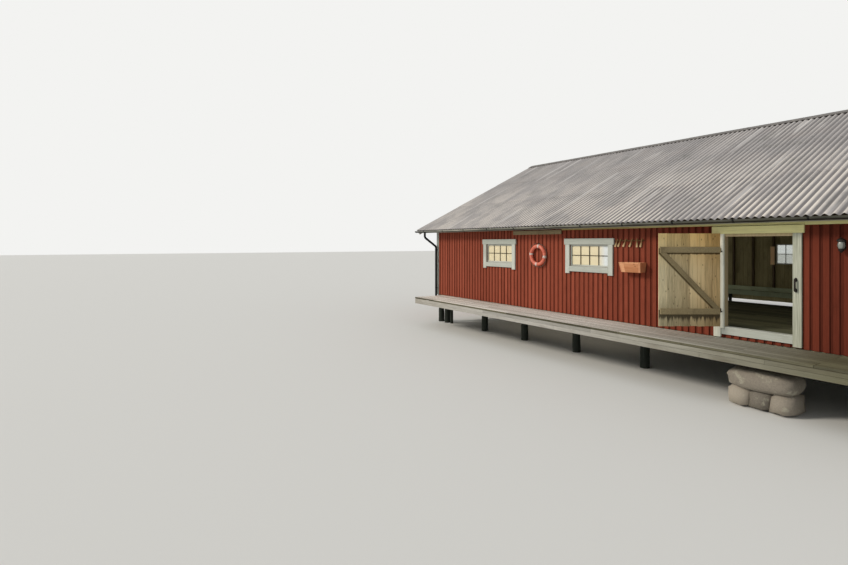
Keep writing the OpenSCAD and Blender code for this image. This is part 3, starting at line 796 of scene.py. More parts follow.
dark_sheet = mottled("dark_coated_sheet_steel", "#504C4A", "#7C7772", 6.0, (0.35, 0.7), 0.55,
                     metallic=0.3)
cap_lo, cap_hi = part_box("ridge_cap")
cap_w = 0.26
cap_top = cap_hi.z - 0.001
cap_lengths = 9
cap_step = (cap_hi.x - cap_lo.x) / cap_lengths
bm = bmesh.new()
for i in range(cap_lengths):
    x0 = cap_lo.x + i * cap_step - (0.04 if i else 0)
    x1 = cap_lo.x + (i + 1) * cap_step
    for vert in bmesh.ops.create_grid(bm, x_segments=2, y_segments=16, size=0.5)["verts"]:
        across = vert.co.y * 2
        fall = cap_w * math.tan(roof_slope) * (math.sqrt(across * across + 0.006) - 0.0775)
        fold = 0.010 if abs(across) > 0.99 else 0.0
        vert.co = Vector((x0 + (vert.co.x + 0.5) * (x1 - x0),
                          (cap_lo.y + cap_hi.y) / 2 + across * cap_w,
                          cap_top - fall - fold - 0.003 * (i % 2)))
bmesh.ops.solidify(bm, geom=bm.faces[:], thickness=0.002)
new_piece(bm, "ridge_flashing", dark_sheet, ["ridge_cap"], smooth=35)


# Barge boards and eaves fascia: unpainted spruce gone silver, with darker weather stains, in
# lengths butted over the rafters and nailed just under the sheets.
silver_wood = {axis: board_wood("silvered_spruce_" + axis, "#7C7868", "#B9B6A8", axis, streak=0.010,
                                stain="#5F5B4C", stains=0.6, roughness=0.85, bump=0.45)
               for axis in "xy"}
fascia_lo, fascia_hi = (corner - wall_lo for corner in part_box("eaves_fascia"))
joins = [fascia_lo.x, 3.0, 7.2, 11.1, fascia_hi.x]
bm = toned_mesh()
for place in (front, back):
    for a, b in zip(joins, joins[1:]):
        plank(bm, place, (a + 0.001, b - 0.001), (fascia_lo.z, fascia_hi.z - 0.004),
              (fascia_lo.y, fascia_lo.y + 0.024))
soften(bm, 0.003)
new_piece(bm, "fascia", silver_wood["x"], ["eaves_fascia"])
barge_t = 0.028
bm = toned_mesh()
for behind in (False, True):
    for x0 in (0.0, roof_len - barge_t):
        for ends in ((0.06, 3.75), (3.753, slope_len - 0.09)):
            block(bm, lambda x, y, z: on_slope(x0 + x * barge_t, ends[y], (-0.18, -0.002)[z], behind))
soften(bm, 0.003)
new_piece(bm, "verge_boards", silver_wood["y"], ["barge_boards"])


# Gutters: half-round coated steel with a rolled front lip, stop ends, a joint every four metres
# and strap brackets at 1.32 m, darker along the underside and at both ends as painted shade.
def tube(bm, points, radius, segments=12):
    """A round bar or pipe along a line of points, closed at both ends."""
    rings = []
    side = None
    for i, point in enumerate(points):
        ahead = (points[min(i + 1, len(points) - 1)] - points[max(i - 1, 0)]).normalized()
        if side is None:
            side = ahead.orthogonal().normalized()
        side = (side - ahead * side.dot(ahead)).normalized()
        other = ahead.cross(side)
        turns = [math.tau * k / segments for k in range(segments)]
        rings.append([bm.verts.new(point + (side * math.cos(turn) + other * math.sin(turn)) * radius)
                      for turn in turns])
    for a, b in zip(rings, rings[1:]):
        for k in range(segments):
            bm.faces.new((a[k], a[(k + 1) % segments], b[(k + 1) % segments], b[k]))
    bm.faces.new(rings[0][::-1])
    bm.faces.new(rings[-1])


gutter_coat = mottled("weathered_and_shaded_gutter_coat", "#737469", "#C2C1B3", (1.2, 9.0, 9.0), (0.36, 0.68),
                      0.6, detail=8.0)
tree = gutter_coat.node_tree
height = add(tree, "SeparateXYZ", links={0: add(tree, "TexCoord").outputs["Object"]}).outputs["Z"]
# Painted shade along the gutter's underside.
coat(gutter_coat, "#25241D", height, at(0, 0, eave_h - 0.034).z, at(0, 0, eave_h - 0.052).z, 0.95)
# Darker towards the land end: painted shade of the trees there.
fade_along(gutter_coat, -6.0, 4.5, "#FFFFFF", "#6E6E66")
# Darker at the lake end: painted shade.
fade_along(gutter_coat, -8.8, -6.9, "#84868C", "#FFFFFF")
pipe_black = mottled("black_coated_pipe", "#0D0E0F", "#1F2122", 14.0, (0.4, 0.75), 0.55,
                     detail=6.0, rough=0.7, specular=0.25)
gutter_lo, gutter_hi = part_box("gutters")
gutter_r = 0.068
joint_r = 0.0695
gutter_d = -0.45
g0 = gutter_lo.x - wall_lo.x
g1 = gutter_hi.x - wall_lo.x
bracket_step = 1.324


def half_pipe(bm, place, start, end, radius):
    """A half-round channel's skin between two places along the eave."""
    for vert in bmesh.ops.create_grid(bm, x_segments=1, y_segments=20, size=0.5)["verts"]:
        angle = math.pi * (vert.co.y + 0.5)
        vert.co = place(start + (vert.co.x + 0.5) * (end - start), eave_h - radius * math.sin(angle),
                        gutter_d - radius * math.cos(angle))


bm = bmesh.new()
hooks = bmesh.new()
for place in (front, back):
    half_pipe(bm, place, g0 + 0.002, g1 - 0.002, gutter_r)
bmesh.ops.solidify(bm, geom=bm.faces[:], thickness=0.0022)
for place, bow in ((front, 0.0695), (back, 0.0672)):
    lip = gutter_d - gutter_r + 0.006
    tube(bm, [place(g0 + 0.001, eave_h - 0.007, lip), place(g1 - 0.001, eave_h - 0.007, lip)],
         0.007, 10)
    for s in (g0 + 0.003, g1 - 0.003):
        for vert in bmesh.ops.create_circle(bm, cap_ends=True, segments=40, radius=gutter_r)["verts"]:
            vert.co = place(s, eave_h - 0.001 + min(vert.co.y, 0), gutter_d + vert.co.x)
    s = -0.23
    while s < g1 - 0.3:
        hook = [place(s, eave_h - bow * math.sin(math.pi * k / 14),
                      gutter_d - bow * math.cos(math.pi * k / 14)) for k in range(15)]
        for bar in range(-4, 5):
            width = bar * 0.0045
            tube(hooks, [p + Vector((width, 0, 0)) for p in hook] +
                 [place(s + width, eave_h, -0.382)], 0.0024, 6)
        s += bracket_step
    s = g0 + 2.6
    while s < g1 - 1:
        half_pipe(bm, place, s - 0.045, s + 0.045, joint_r)
        s += 4.0
new_piece(bm, "rain_gutters", gutter_coat, ["gutters"], smooth=35)
new_piece(hooks, "gutter_brackets", pipe_black, smooth=35)


# Downpipe: black coated steel from the gutter's outlet, by a swan neck, down the corner board,
# with two swaged joints and two clips.
def rounded(points, reach, steps=7):
    """The same line of points with each bend turned into a short curve."""
    line = [points[0]]
    for before, bend, after in zip(points, points[1:], points[2:]):
        a = bend + (before - bend).normalized() * reach
        b = bend + (after - bend).normalized() * reach
        line += [a.lerp(bend, t).lerp(bend.lerp(b, t), t) for t in
                 (k / steps for k in range(steps + 1))]
    return line + [points[-1]]


pipe_r = 0.0435
outlet = at(-0.24, gutter_d, eave_h - 0.069)
knee = outlet - Vector((0, 0, 0.199))
corner = at(0.06, -0.095, 1.95)
foot = corner - Vector((0, 0, 2.01))
bm = bmesh.new()
tube(bm, rounded([outlet, knee, corner, foot], 0.065), pipe_r, 24)
for top_end, way in ((knee.lerp(corner, 0.18), (corner - knee).normalized()),
                     (corner - Vector((0, 0, 0.09)), Vector((0, 0, -1)))):
    tube(bm, [top_end, top_end + way * 0.055], pipe_r + 0.003, 24)
for h in (0.25, 1.80):
    clip = at(0.06, -0.095, h)
    tube(bm, [clip, clip + Vector((0, 0, 0.03))], pipe_r + 0.004, 24)
    for vert in bmesh.ops.create_cube(bm, size=1)["verts"]:
        vert.co = at(0.06 + vert.co.x * 0.022, -0.04 + vert.co.y * 0.03, h + 0.015 + vert.co.z * 0.03)
new_piece(bm, "rain_downpipe", pipe_black, ["downpipe"], smooth=45)


# Windows: wide casing boards with an eared head and small feet, and fixed sashes set back in the
# wall, each of eight panes behind thin dark glazing bars. The front panes carry a painted reflection.
dark_bars = board_wood("dark_olive_bar_paint", "#2F2A1E", "#554B36", "z", streak=0.006,
                       stain="#2A261C", stains=0.3, roughness=0.6, bump=0.1)
case_w = 0.15
sash_w = 0.045
bar_half = 0.011
side_cases = toned_mesh()
level_cases = toned_mesh()
frames = toned_mesh()
bars = toned_mesh()
windows = [(front, c, front_sill) for c in front_wins] + [(back, c, back_sill) for c in back_wins]
for place, c, sill in windows + [(land_end, gable_win, back_sill)]:
    a, b = c - win_w / 2, c + win_w / 2
    plank(level_cases, place, (a - case_w - 0.04, b + case_w + 0.04), (win_top, win_top + 0.173),
          (-0.053, -0.001))
    for edge in (a - case_w, b):
        plank(side_cases, place, (edge, edge + case_w), (sill - 0.215, win_top - 0.001),
              (-0.048, -0.001))
    plank(level_cases, place, (a + 0.001, b - 0.001), (sill - 0.155, sill), (-0.046, -0.001))
    for edge in (a, b - sash_w):
        plank(frames, place, (edge, edge + sash_w), (sill, win_top), (0.02, 0.075))
    for edge in (sill, win_top - sash_w):
        plank(frames, place, (a + 0.046, b - 0.046), (edge, edge + sash_w), (0.022, 0.073))
    inside = win_w / 2 - sash_w
    for w in ((0.028, 0.044), (0.051, 0.064)):
        for u in (c - inside / 2, c, c + inside / 2):
            plank(bars, place, (u - bar_half, u + bar_half), (sill + sash_w, win_top - sash_w), w, 0.5)
    middle = (sill + win_top) / 2
    for w in ((0.030, 0.044), (0.051, 0.062)):
        plank(bars, place, (c - inside, c + inside), (middle - 0.010, middle + 0.010), w, 0.5)
for mesh in (side_cases, level_cases, frames):
    soften(mesh, 0.003)
soften(bars, 0.002)
new_piece(side_cases, "window_side_casings", pale_paint["z"], ["window_casings"])
new_piece(level_cases, "window_level_casings", pale_paint["x"])
new_piece(frames, "sash_frames", pale_paint["x"], ["window_sashes"])
new_piece(bars, "glazing_bars", dark_bars)

pane_glass = surface("old_window_glass", 0.02, "#E9EEEA")
tree = pane_glass.node_tree
relief(pane_glass, cloud(tree, add(tree, "TexCoord").outputs["Object"], 5.0, 1.0, 0.5), 0.12, 0.004)
shader(pane_glass)["IOR"].default_value = 1.5
shader(pane_glass)["Transmission Weight"].default_value = 0.85
dress(["window_glass_back", "window_glass_gable"], pane_glass)
# Front panes: a cream glaze of low transmission as painted reflection.
reflection_glass = pane_glass.copy()
reflection_glass.name = "front_glass_painted_reflection"
tree = reflection_glass.node_tree
shader(reflection_glass)["Base Color"].default_value = linear("#FAEDC8")
shader(reflection_glass)["Transmission Weight"].default_value = 0.2
shader(reflection_glass)["Roughness"].default_value = 0.06
# Turning blue-white at the second window: painted reflection.
along = add(tree, "SeparateXYZ", links={0: add(tree, "TexCoord").outputs["Object"]}).outputs["X"]
coat(reflection_glass, "#F2F8FA", along, -0.12, 0.12)
dress(["window_glass_front"], reflection_glass)


# Doorway: casing boards of unequal width under an eared head in cream, worn to grey at their
# feet, round an unpainted jamb with a painted sill board and threshold.
door_paint = board_wood("pale_door_casing_paint", "#8C907D", "#F4F5E6", "z", streak=0.012,
                        stain="#9C9A8A", stains=0.3, roughness=0.75, bump=0.35,
                        paint_wear=0.15, worn="#9F9886")
bare_wood = board_wood("unpainted_door_spruce", "#7E7054", "#C8B692", "z", streak=0.009,
                       stain="#4C412F", stains=0.55, roughness=0.8, bump=0.5)
notch_h = door_sill - jamb_t
case_t = (-0.048, -0.001)
jamb_in = (0.0, 0.145)
# The left casing boards take the lightest tone as painted light, the right one a low tone as painted
# shade.
boards("door_side_casings", door_paint, 0.004, front,
       [((door_s - 0.222, door_s - 0.002), (notch_h, door_top - 0.001), case_t, 1.0),
        ((door_s - 0.222, door_s - 0.072), (0.015, notch_h), case_t, 1.0),
        ((door_end + 0.001, door_end + 0.154), (0.03, door_top - 0.001), case_t, 0.1)],
       ["door_casing"])
boards("door_head_board", cream_paint, 0.004, front,
       [((door_s - 0.256, door_end + 0.194), (door_top, 2.464), (-0.054, -0.001), 0.75)])
boards("door_sill_boards", pale_paint["x"], 0.004, front,
       [((door_s - 0.07, door_end - 0.001), (0.082, notch_h - 0.001), (-0.028, 0.0), 0.5),
        ((door_s + 0.001, door_end - 0.001), (notch_h, door_sill), (-0.03, 0.145), 0.7)])
boards("door_lining", bare_wood, 0.003, front,
       [((a, a + jamb_t), (notch_h, door_top), jamb_in, 0.9) for a in (door_s - jamb_t, door_end)]
       + [((door_s + 0.001, door_end - 0.001), (door_head, door_top), jamb_in, 0.9)],
       ["door_jamb"])


# Door leaf: eight upright boards without paint, clenched with nails to two ledges and a brace.
# Painted shadow darkens the boards under the ledges, in uneven streaks, and beside the brace's
# lower edge, on the inner side; the boards also darken towards the foot.
hinge = at(11.24, -0.1, 0)
swing = math.radians(123)
leaf_w = 1.37
leaf_t = 0.028
leaf_low = 0.258
leaf_high = 2.312
ledge_t = 0.030
ledge_h = 0.13
ledge_feet = (0.525, 1.885)
brace_lo = 0.03
brace_hi = leaf_w - 0.02
brace_run = 0.135
brace_foot = ledge_feet[0] + ledge_h + 0.001
brace_head = ledge_feet[1] - 0.001
leaf_wood = surface("weathered_door_spruce", 0.82, "#897B61", specular=0.25)
tree = leaf_wood.node_tree
leaf_tone = add(tree, "Attribute", attribute_name="tone")
leaf_place = add(tree, "Attribute", attribute_name="leaf_place").outputs["Vector"]
board_shift = add(tree, "VectorMath", {1: (3.0, 17.0, 5.0)}, {0: leaf_tone.outputs["Vector"]},
                  operation="MULTIPLY")
board_place = add(tree, "VectorMath", links={0: leaf_place, 1: board_shift}, operation="ADD")
grain = cloud(tree, board_place, (110.0, 3.2, 110.0), 6.0, 0.65)
level = add(tree, "Math", {1: 0.5}, {0: leaf_tone.outputs["Fac"], 2: grain},
            operation="MULTIPLY_ADD")
coat(leaf_wood, "#FCEBC8", level, 0.3, 0.92)
patches(leaf_wood, board_place, (26.0, 0.9, 7.0), (0.5, 0.74), "#6E5E3E", most=0.5)
knot_place = add(tree, "Mapping", {"Scale": (6.5, 2.6, 1.0)}, {"Vector": board_place})
knots = add(tree, "TexVoronoi", {"Scale": 1.0, "Randomness": 1.0}, {"Vector": knot_place},
            voronoi_dimensions="2D")
coat(leaf_wood, "#3A2C1C", knots, 0.07, 0.035, 0.7)
on_leaf = add(tree, "SeparateXYZ", links={0: leaf_place}).outputs
inner_side = add(tree, "Math", {1: 0.0}, {0: on_leaf["Z"]}, operation="GREATER_THAN")


def where_all(tree, share, *tests):
    """A share that counts only where every test says one."""
    for test in tests:
        share = add(tree, "Math", links={0: share, 1: test}, operation="MULTIPLY")
    return share


# Painted shadow under each ledge: a band whose reach a noise varies, long under the lower ledge and
# short under the upper.
ledge_shadow_reach = cloud(tree, leaf_place, (16.0, 0.0, 0.0), 2.0, 0.5)
for ledge_foot, shortest, longest in zip(ledge_feet, (0.07, 0.035), (0.24, 0.06)):
    reach = add(tree, "MapRange", {"From Min": 0.4, "From Max": 0.64,
                                   "To Min": shortest, "To Max": longest}, {"Value": ledge_shadow_reach})
    depth = add(tree, "Math", {0: ledge_foot}, {1: on_leaf["Y"]}, operation="SUBTRACT")
    ledge_shadow = add(tree, "Math", links={0: depth, 1: reach}, operation="DIVIDE")
    ledge_shadow = add(tree, "MapRange", {"From Min": 1.0, "From Max": 0.5, "To Max": 0.9}, {"Value": ledge_shadow})
    below = add(tree, "Math", {1: -0.1}, {0: depth}, operation="GREATER_THAN")
    coat(leaf_wood, "#3A3020", where_all(tree, ledge_shadow, below, inner_side), 0.0, 1.0)
# Painted shadow beside the brace's lower edge, on the inner side only.
brace_lean = (brace_hi - brace_lo - brace_run) / (brace_head - brace_foot)
off_brace = add(tree, "Math", {1: -brace_lean, 2: brace_foot * brace_lean - brace_lo - brace_run},
                {0: on_leaf["Y"]}, operation="MULTIPLY_ADD")
off_brace = add(tree, "Math", links={0: on_leaf["X"], 1: off_brace}, operation="ADD")
brace_shadow = add(tree, "MapRange", {"From Min": 0.06, "From Max": 0.035, "To Max": 0.85},
                 {"Value": off_brace})
past = add(tree, "Math", {1: -0.05}, {0: off_brace}, operation="GREATER_THAN")
over = add(tree, "Math", {1: brace_foot}, {0: on_leaf["Y"]}, operation="GREATER_THAN")
under = add(tree, "Math", {1: brace_head}, {0: on_leaf["Y"]}, operation="LESS_THAN")
coat(leaf_wood, "#3F321C", where_all(tree, brace_shadow, past, over, under, inner_side), 0.0, 1.0)
fade_along(leaf_wood, 0.1, 1.3, "#E8D6B6", "#F8FAF0", "X", "leaf_place")
fade_along(leaf_wood, 1.5, 2.25, "#FFFFFF", "#FFF1D2", "Y", "leaf_place")
coat(leaf_wood, "#59523F", on_leaf["Y"], 0.95, 0.55, 0.35)
relief(leaf_wood, grain, 0.45, 0.003)
ledge_wood = board_wood("weathered_ledge_spruce", "#6C5F44", "#C6B48A", "x", streak=0.012,
                        stain="#443A28", stains=0.6, roughness=0.85, bump=0.4)


def leaf(u, v, w):
    """A place on the leaf: u from the hinge line, v above the deck, w towards its inner side."""
    return hinge + Vector((u * math.cos(swing) + w * math.sin(swing),
                           w * math.cos(swing) - u * math.sin(swing), v))


def leaf_piece(bm, name, material, replaces=(), smooth=None, along="v"):
    """Turns a mesh made in the leaf's own axes into place and keeps those axes for its grain."""
    layer = bm.verts.layers.float_vector.new("leaf_place")
    for vert in bm.verts:
        u, v, w = vert.co
        vert[layer] = (u, v, w) if along == "v" else (v, u, w)
        vert.co = leaf(u, v, w)
    new_piece(bm, name, material, replaces, "door_leaf", smooth)


def own(u, v, w):
    """The same place in the leaf's own axes, before leaf_piece turns it."""
    return Vector((u, v, w))


first_edge = 0.016
leaf_step = (leaf_w - first_edge) / 8
foot_cuts = [0.000, 0.004, 0.0, 0.009, 0.002, 0.006, 0.0, 0.003]
bm = toned_mesh()
for i, foot_cut in enumerate(foot_cuts):
    a = first_edge + i * leaf_step + 0.0005
    plank(bm, own, (a, a + leaf_step - random.uniform(0.0025, 0.0045)),
          (leaf_low + foot_cut, leaf_high - random.uniform(0, 0.003)),
          (-leaf_t / 2 + random.uniform(0, 0.002), leaf_t / 2), random.uniform(0.1, 1.0))
soften(bm, 0.003)
leaf_piece(bm, "leaf_boards", leaf_wood, ["door_boards"])
bm = toned_mesh()
for v0 in ledge_feet:
    plank(bm, own, (brace_lo, brace_hi), (v0, v0 + ledge_h),
          (leaf_t / 2, leaf_t / 2 + ledge_t - 0.001), 0.35)
soften(bm, 0.006)
leaf_piece(bm, "leaf_ledges", ledge_wood, ["door_ledges"], along="u")
bm = toned_mesh()
block(bm, lambda x, y, z: own((brace_lo, brace_hi - brace_run)[y] + x * brace_run,
                              (brace_foot, brace_head)[y],
                              leaf_t / 2 + z * (ledge_t - 0.002)), 0.2)
soften(bm, 0.004)
leaf_piece(bm, "leaf_brace", ledge_wood)
nails = bmesh.new()
spots = []
for i in range(len(foot_cuts)):
    middle = first_edge + (i + 0.5) * leaf_step
    for v in (foot + up for foot in ledge_feet for up in (0.03, 0.1)):
        for w in (leaf_t / 2 + ledge_t - 0.0005, -leaf_t / 2 - 0.0005):
            spots.append(Vector((middle + random.uniform(-0.03, 0.03), v, w)))
nail_heads(nails, [p for p in spots if brace_lo + 0.02 < p.x < brace_hi - 0.02 or p.z < 0],
           0.0055, 0.003)
leaf_piece(nails, "leaf_nails", nail_iron)


# Strap hinges: black wrought iron with a little rust, two tapering straps riveted to the leaf's
# outer side, each rolled into a barrel that turns on a pintle.
def spun(bm, points, centre, axis, steps, turn=math.tau):
    """Sweeps a closed line of points round an axis; a full turn is joined up."""
    verts = [bm.verts.new(point) for point in points]
    edges = [bm.edges.new(pair) for pair in zip(verts, verts[1:] + verts[:1])]
    bmesh.ops.spin(bm, geom=verts + edges, cent=centre, axis=axis, angle=turn, steps=steps,
                   use_merge=turn == math.tau)


iron = mottled("black_wrought_iron", "#201E1C", "#4C3626", 45.0, (0.5, 0.7), 0.6, most=0.7,
               detail=8.0, rough=0.7, metallic=0.5)
strap_t = 0.006
strap_len = 0.656
strap_h = 0.05
barrel_out = 0.014
barrel_bore = 0.0088
bm = bmesh.new()
for v0 in (0.6, 1.93):
    made = bmesh.ops.create_cube(bm, size=1)["verts"]
    long_edges = {e for v in made for e in v.link_edges
                  if abs(e.verts[0].co.x - e.verts[1].co.x) > 0.5}
    bmesh.ops.subdivide_edges(bm, edges=list(long_edges), cuts=9)
    for vert in [v for v in bm.verts if not v.tag]:
        share = vert.co.x + 0.5
        width = strap_h * (1 - 0.45 * share) if share < 0.95 else 0.012
        vert.co = own(-0.004 + share * (strap_len + 0.004), v0 + strap_h / 2 + vert.co.y * width,
                      -leaf_t / 2 - strap_t / 2 + vert.co.z * (strap_t - 0.0006))
    for k in range(5):
        spot = own(0.07 + k * 0.125, v0 + strap_h / 2, -leaf_t / 2 - strap_t - 0.001)
        for vert in bmesh.ops.create_uvsphere(bm, u_segments=10, v_segments=6, radius=0.009)["verts"]:
            vert.co = Vector((vert.co.x, vert.co.y, vert.co.z * 0.45)) + spot
    spun(bm, [own(barrel_out, v0, 0), own(barrel_out, v0 + strap_h, 0),
              own(barrel_bore, v0 + strap_h, 0), own(barrel_bore, v0, 0)], (0, 0, 0), (0, 1, 0), 24)
    for vert in bm.verts:
        vert.tag = True
leaf_piece(bm, "leaf_straps", iron, ["door_straps"], smooth=40)
dress(["door_pintles"], iron)


# Pull handle: a flattened bow of round black iron, upright on the right door casing, on two feet
# with a leaf-shaped end plate at each.
grip_s = 12.645
grip_low = 1.145
grip_high = 1.385
bm = bmesh.new()
grip = [at(grip_s, d, h) for d, h in ((-0.051, grip_low), (-0.104, grip_low),
                                      (-0.104, grip_high), (-0.051, grip_high))]
tube(bm, rounded(grip, 0.03, 6), 0.0135, 16)
for vert in bm.verts:
    vert.co.x += (vert.co.x - at(grip_s, 0, 0).x) * 0.35
for h in (grip_low, grip_high):
    tube(bm, [at(grip_s, -0.0505, h), at(grip_s, -0.0555, h)], 0.023, 20)
for h in (1.160, 1.370):
    for vert in bmesh.ops.create_cone(bm, cap_ends=True, segments=24, radius1=1, radius2=1,
                                      depth=1)["verts"]:
        vert.co = at(grip_s + vert.co.x * 0.027, -0.051 + vert.co.z * 0.005, h + vert.co.y * 0.042)
new_piece(bm, "bow_handle", iron, ["pull_handle"], smooth=45)


# Ring buoy: a faded orange shell with four pale reflecting bands, thin tape modelled as a closed
# skin, and a grab line held by the bands and slack between them. It hangs on an iron hook.
faded_shell = mottled("faded_orange_polyethylene", "#C25A40", "#E8816A", 9.0, (0.38, 0.66), 0.5)
pale_band = surface("pale_reflecting_tape", 0.45, "#FFF4EC")
grab_line = surface("grey_polypropylene_line", 0.85, "#6B6A5E")
ring_lo, ring_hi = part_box("life_ring")
ring_mid = (ring_lo + ring_hi) / 2
tube_r = (ring_hi.y - ring_lo.y) / 2
ring_r = (ring_hi.x - ring_lo.x) / 2 - tube_r
bands = [math.radians(a) for a in (82, 172, 262, 352)]
band_half = 0.12


def on_ring(angle, reach, d=0.0):
    """A place round the ring buoy: an angle from its right, seen from the front, and a radius."""
    return ring_mid + Vector((math.cos(angle) * reach, d, math.sin(angle) * reach))


def ring_body(bm, start, turn, radius, steps):
    """Part of the ring buoy's round body, from a start angle."""
    spun(bm, [on_ring(start, ring_r + radius * math.cos(math.tau * k / 28),
                      radius * math.sin(math.tau * k / 28)) for k in range(28)],
         ring_mid, (0, -1, 0), steps, turn)


bm = bmesh.new()
ring_body(bm, 0, math.tau, tube_r - 0.001, 96)
new_piece(bm, "ring_shell", faded_shell, ["life_ring"], smooth=60)
bm = bmesh.new()
for angle in bands:
    ring_body(bm, angle - band_half, 2 * band_half, tube_r + 0.0005, 8)
bmesh.ops.solidify(bm, geom=bm.faces[:], thickness=0.0)
new_piece(bm, "ring_bands", pale_band, smooth=60)
peg = ring_mid + Vector((0, 0, ring_r + tube_r))
wall_end = Vector((peg.x, wall_lo.y, peg.z + 0.02))
bm = bmesh.new()
tube(bm, rounded([wall_end - Vector((0, 0.001, 0)), peg + Vector((0, -0.075, 0.02)),
                  peg + Vector((0, -0.085, 0.055))], 0.015, 4), 0.007, 10)
tube(bm, [wall_end - Vector((0, 0.0005, 0)), wall_end - Vector((0, 0.006, 0))], 0.022, 16)
new_piece(bm, "ring_hook", iron, smooth=45)
line_r = 0.005
bm = bmesh.new()
for a, b in zip(bands, bands[1:] + [bands[0] + math.tau]):
    path = [on_ring(a + (b - a) * k / 18,
                    ring_r + tube_r + 0.006 + 0.035 * math.sin(math.pi * k / 18), -0.012)
            for k in range(19)]
    tube(bm, path, line_r, 8)
new_piece(bm, "ring_grab_line", grab_line, smooth=60)


# Wall planter: a trough of oiled pine that widens upwards, its front and ends leaning out, each
# of boards on edge, with a lighter batten at each end of the front, a few knots, and rows that
# lighten upwards to a pale rim as painted light.
oiled_wood = board_wood("oiled_planter_pine", "#B06C40", "#E8AC82", "x", streak=0.009,
                        stain="#8A4F2C", stains=0.35, roughness=0.6, bump=0.25)
tree = oiled_wood.node_tree
knots = add(tree, "Mapping", {"Location": (0.21, 0.0, 0.34), "Scale": (4.2, 0.0, 7.0)},
            {"Vector": add(tree, "TexCoord").outputs["Object"]})
knots = add(tree, "TexVoronoi", {"Scale": 1.0}, {"Vector": knots})
coat(oiled_wood, "#7A4320", knots, 0.17, 0.06, 0.75)
planter_s = 9.075
planter_h = 1.345
planter_rise = 0.255
half = 0.253
flare = 0.14
lean = 0.25
base_t = 0.02
bm = toned_mesh()
# The rows lighten upwards, the top row most: painted light on the rim.
for z0, z1, tone in ((0.0, 0.126, 0.15), (0.127, 0.224, 0.35), (0.225, planter_rise, 0.95)):
    for outer, inner, tilt in ((-0.205, -0.185, lean), (-0.02, -0.0005, 0.0)):
        for x0, x1, pale in ((-1.0, -0.6, 1.0), (-0.596, 0.88, tone), (0.884, 1.0, 0.9)):
            block(bm, lambda x, y, z: at(planter_s + (x0, x1)[x] * (half + flare * (z0, z1)[z]),
                                         (outer, inner)[y] - tilt * (z0, z1)[z],
                                         planter_h + max((z0, z1)[z], 0.0 if tilt else 0.021)), pale)
for side in (-1, 1):
    block(bm, lambda x, y, z: at(planter_s + side * ((0.255, 0.275)[x if side > 0 else 1 - x]
                                                     + flare * planter_rise * z),
                                 (-0.205 - lean * planter_rise * z, -0.0005)[y],
                                 planter_h + planter_rise * z), 0.75)
plank(bm, front, (planter_s - half, planter_s + half), (planter_h, planter_h + base_t),
      (-0.183, -0.002), 0.4)
soften(bm, 0.002)
new_piece(bm, "planter_boards", oiled_wood, ["planter_box"])


# Row of paddles: six short, plain paddles of bare pine, pale at the blade and darker above as
# painted shade of the eaves, hung aslant on a thin rail.
paddle_wood = board_wood("bare_paddle_pine", "#8C7B5C", "#D3C4A0", "z", streak=0.008,
                         stain="#5C4C34", stains=0.4, roughness=0.75, bump=0.25)
# Painted shade of the eaves over the paddles' upper part.
fade_along(paddle_wood, at(0, 0, 2.01).z, at(0, 0, 2.13).z, "#FFF0E2", "#9C8468", "Z")
paddle_h = 2.105
paddle_t = 0.022
paddle_half = [(0.012, 0.115), (0.010, 0.02), (0.019, -0.02), (0.0245, -0.095), (0.018, -0.115)]
outline = paddle_half + [(-x, z) for x, z in reversed(paddle_half)]
bm = toned_mesh()
plank(bm, front, (8.48, 9.32), (2.15, 2.172), (-0.018, -0.0005), 0.0)
for s, turn in ((8.53, 22), (8.625, 24), (8.78, 26), (8.965, 24), (9.14, 3), (9.262, 16)):
    along, off = math.cos(math.radians(turn)), math.sin(math.radians(turn))
    face = bm.faces.new([bm.verts.new(front(s + x * along + z * off,
                                            paddle_h + z * along - x * off, -0.019))
                         for x, z in outline])
    grown = bmesh.ops.extrude_face_region(bm, geom=[face])["geom"]
    blade = [v for v in grown if isinstance(v, bmesh.types.BMVert)]
    bmesh.ops.translate(bm, verts=blade, vec=(0, -paddle_t, 0))
    shade(bm, blade + list(face.verts), random.uniform(0.5, 1.0))
new_piece(bm, "paddle_row", paddle_wood, ["peg_row"])


# Wall lantern: black iron plate, bracket, hood and cup, joined by four bent bars round a frosted
# glass globe.
lamp_glass = surface("frosted_lantern_glass", 0.2, "#8A8E88")
lamp_s = 13.385
lamp = at(lamp_s, -0.105, 1.952)


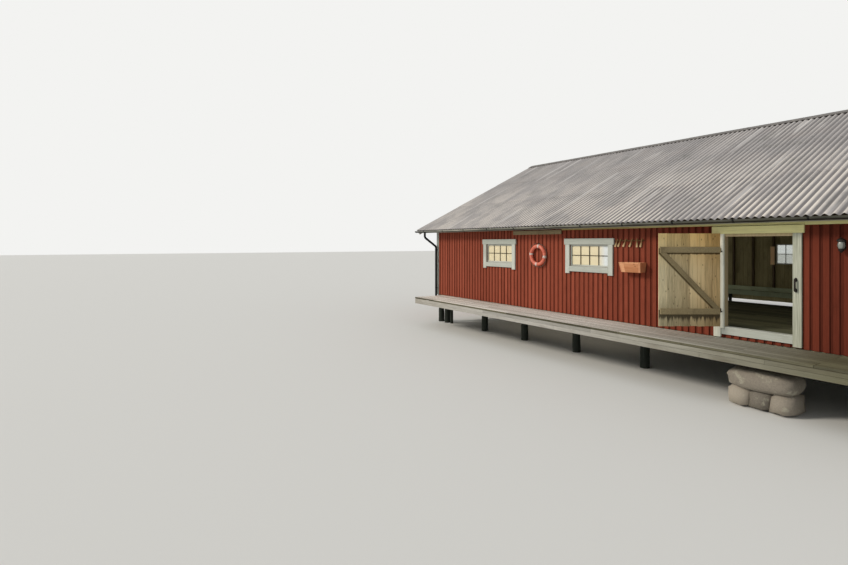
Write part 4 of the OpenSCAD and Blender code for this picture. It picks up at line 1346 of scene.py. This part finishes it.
def turned(bm, profile):
    """A turned body round the lamp's axis from (radius, height) pairs, closed at its ends."""
    verts = [bm.verts.new(lamp + Vector((r, 0, z))) for r, z in profile]
    edges = [bm.edges.new(pair) for pair in zip(verts, verts[1:])]
    bmesh.ops.spin(bm, geom=verts + edges, cent=lamp, axis=(0, 0, 1), angle=math.tau, steps=32,
                   use_merge=True)
    bmesh.ops.holes_fill(bm, edges=[edge for edge in bm.edges if edge.is_boundary], sides=32)


bm = bmesh.new()
for vert in bmesh.ops.create_cube(bm, size=1)["verts"]:
    vert.co = at(lamp_s + vert.co.x * 0.088, -0.01 + vert.co.y * 0.019, 2.07 + vert.co.z * 0.188)
bmesh.ops.bevel(bm, geom=bm.edges[:], offset=0.006, segments=2, affect="EDGES")
tube(bm, rounded([at(lamp_s, -0.015, 2.15), at(lamp_s, -0.09, 2.15), at(lamp_s, -0.105, 2.165)],
                 0.012, 4), 0.008, 12)
turned(bm, [(0.046, 0.172), (0.071, 0.178), (0.0715, 0.182), (0.066, 0.206), (0.041, 0.229),
            (0.018, 0.238), (0.012, 0.244), (0.013, 0.25), (0.008, 0.257)])
turned(bm, [(0.008, -0.033), (0.0135, -0.0325), (0.0235, -0.014), (0.0415, 0.005), (0.0418, 0.03),
            (0.046, 0.036), (0.044, 0.041), (0.036, 0.041)])
for k in range(4):
    turn = math.tau * (k + 0.5) / 4
    bow = [lamp + Vector((r * math.cos(turn), r * math.sin(turn), z)) for r, z in
           ((0.044, 0.036), (0.055, 0.062), (0.0605, 0.11), (0.0565, 0.15), (0.047, 0.174))]
    tube(bm, bow, 0.0028, 8)
new_piece(bm, "lantern_case", iron, ["wall_lantern"], smooth=40)
bm = bmesh.new()
turned(bm, [(0.036, 0.04), (0.0425, 0.046), (0.051, 0.064), (0.0575, 0.09), (0.0588, 0.112),
            (0.056, 0.14), (0.049, 0.16), (0.044, 0.173)])
new_piece(bm, "lantern_globe", lamp_glass, smooth=60)


# Eave plank: one rough spruce board, grey-brown with age, nailed flat to the wall under the eaves
# above the ring buoy. Its wood is left rougher than the trim boards beside it.
rough_plank = board_wood("rough_grey_plank", "#63563E", "#AC9A78", "x", streak=0.010,
                         stain="#3A3022", stains=0.6, roughness=0.9, bump=0.6)
boards("eave_board", rough_plank, 0.006, front,
       [((4.55, 6.62), (2.368, 2.497), (-0.044, -0.001), 0.6)], ["eave_plank"])
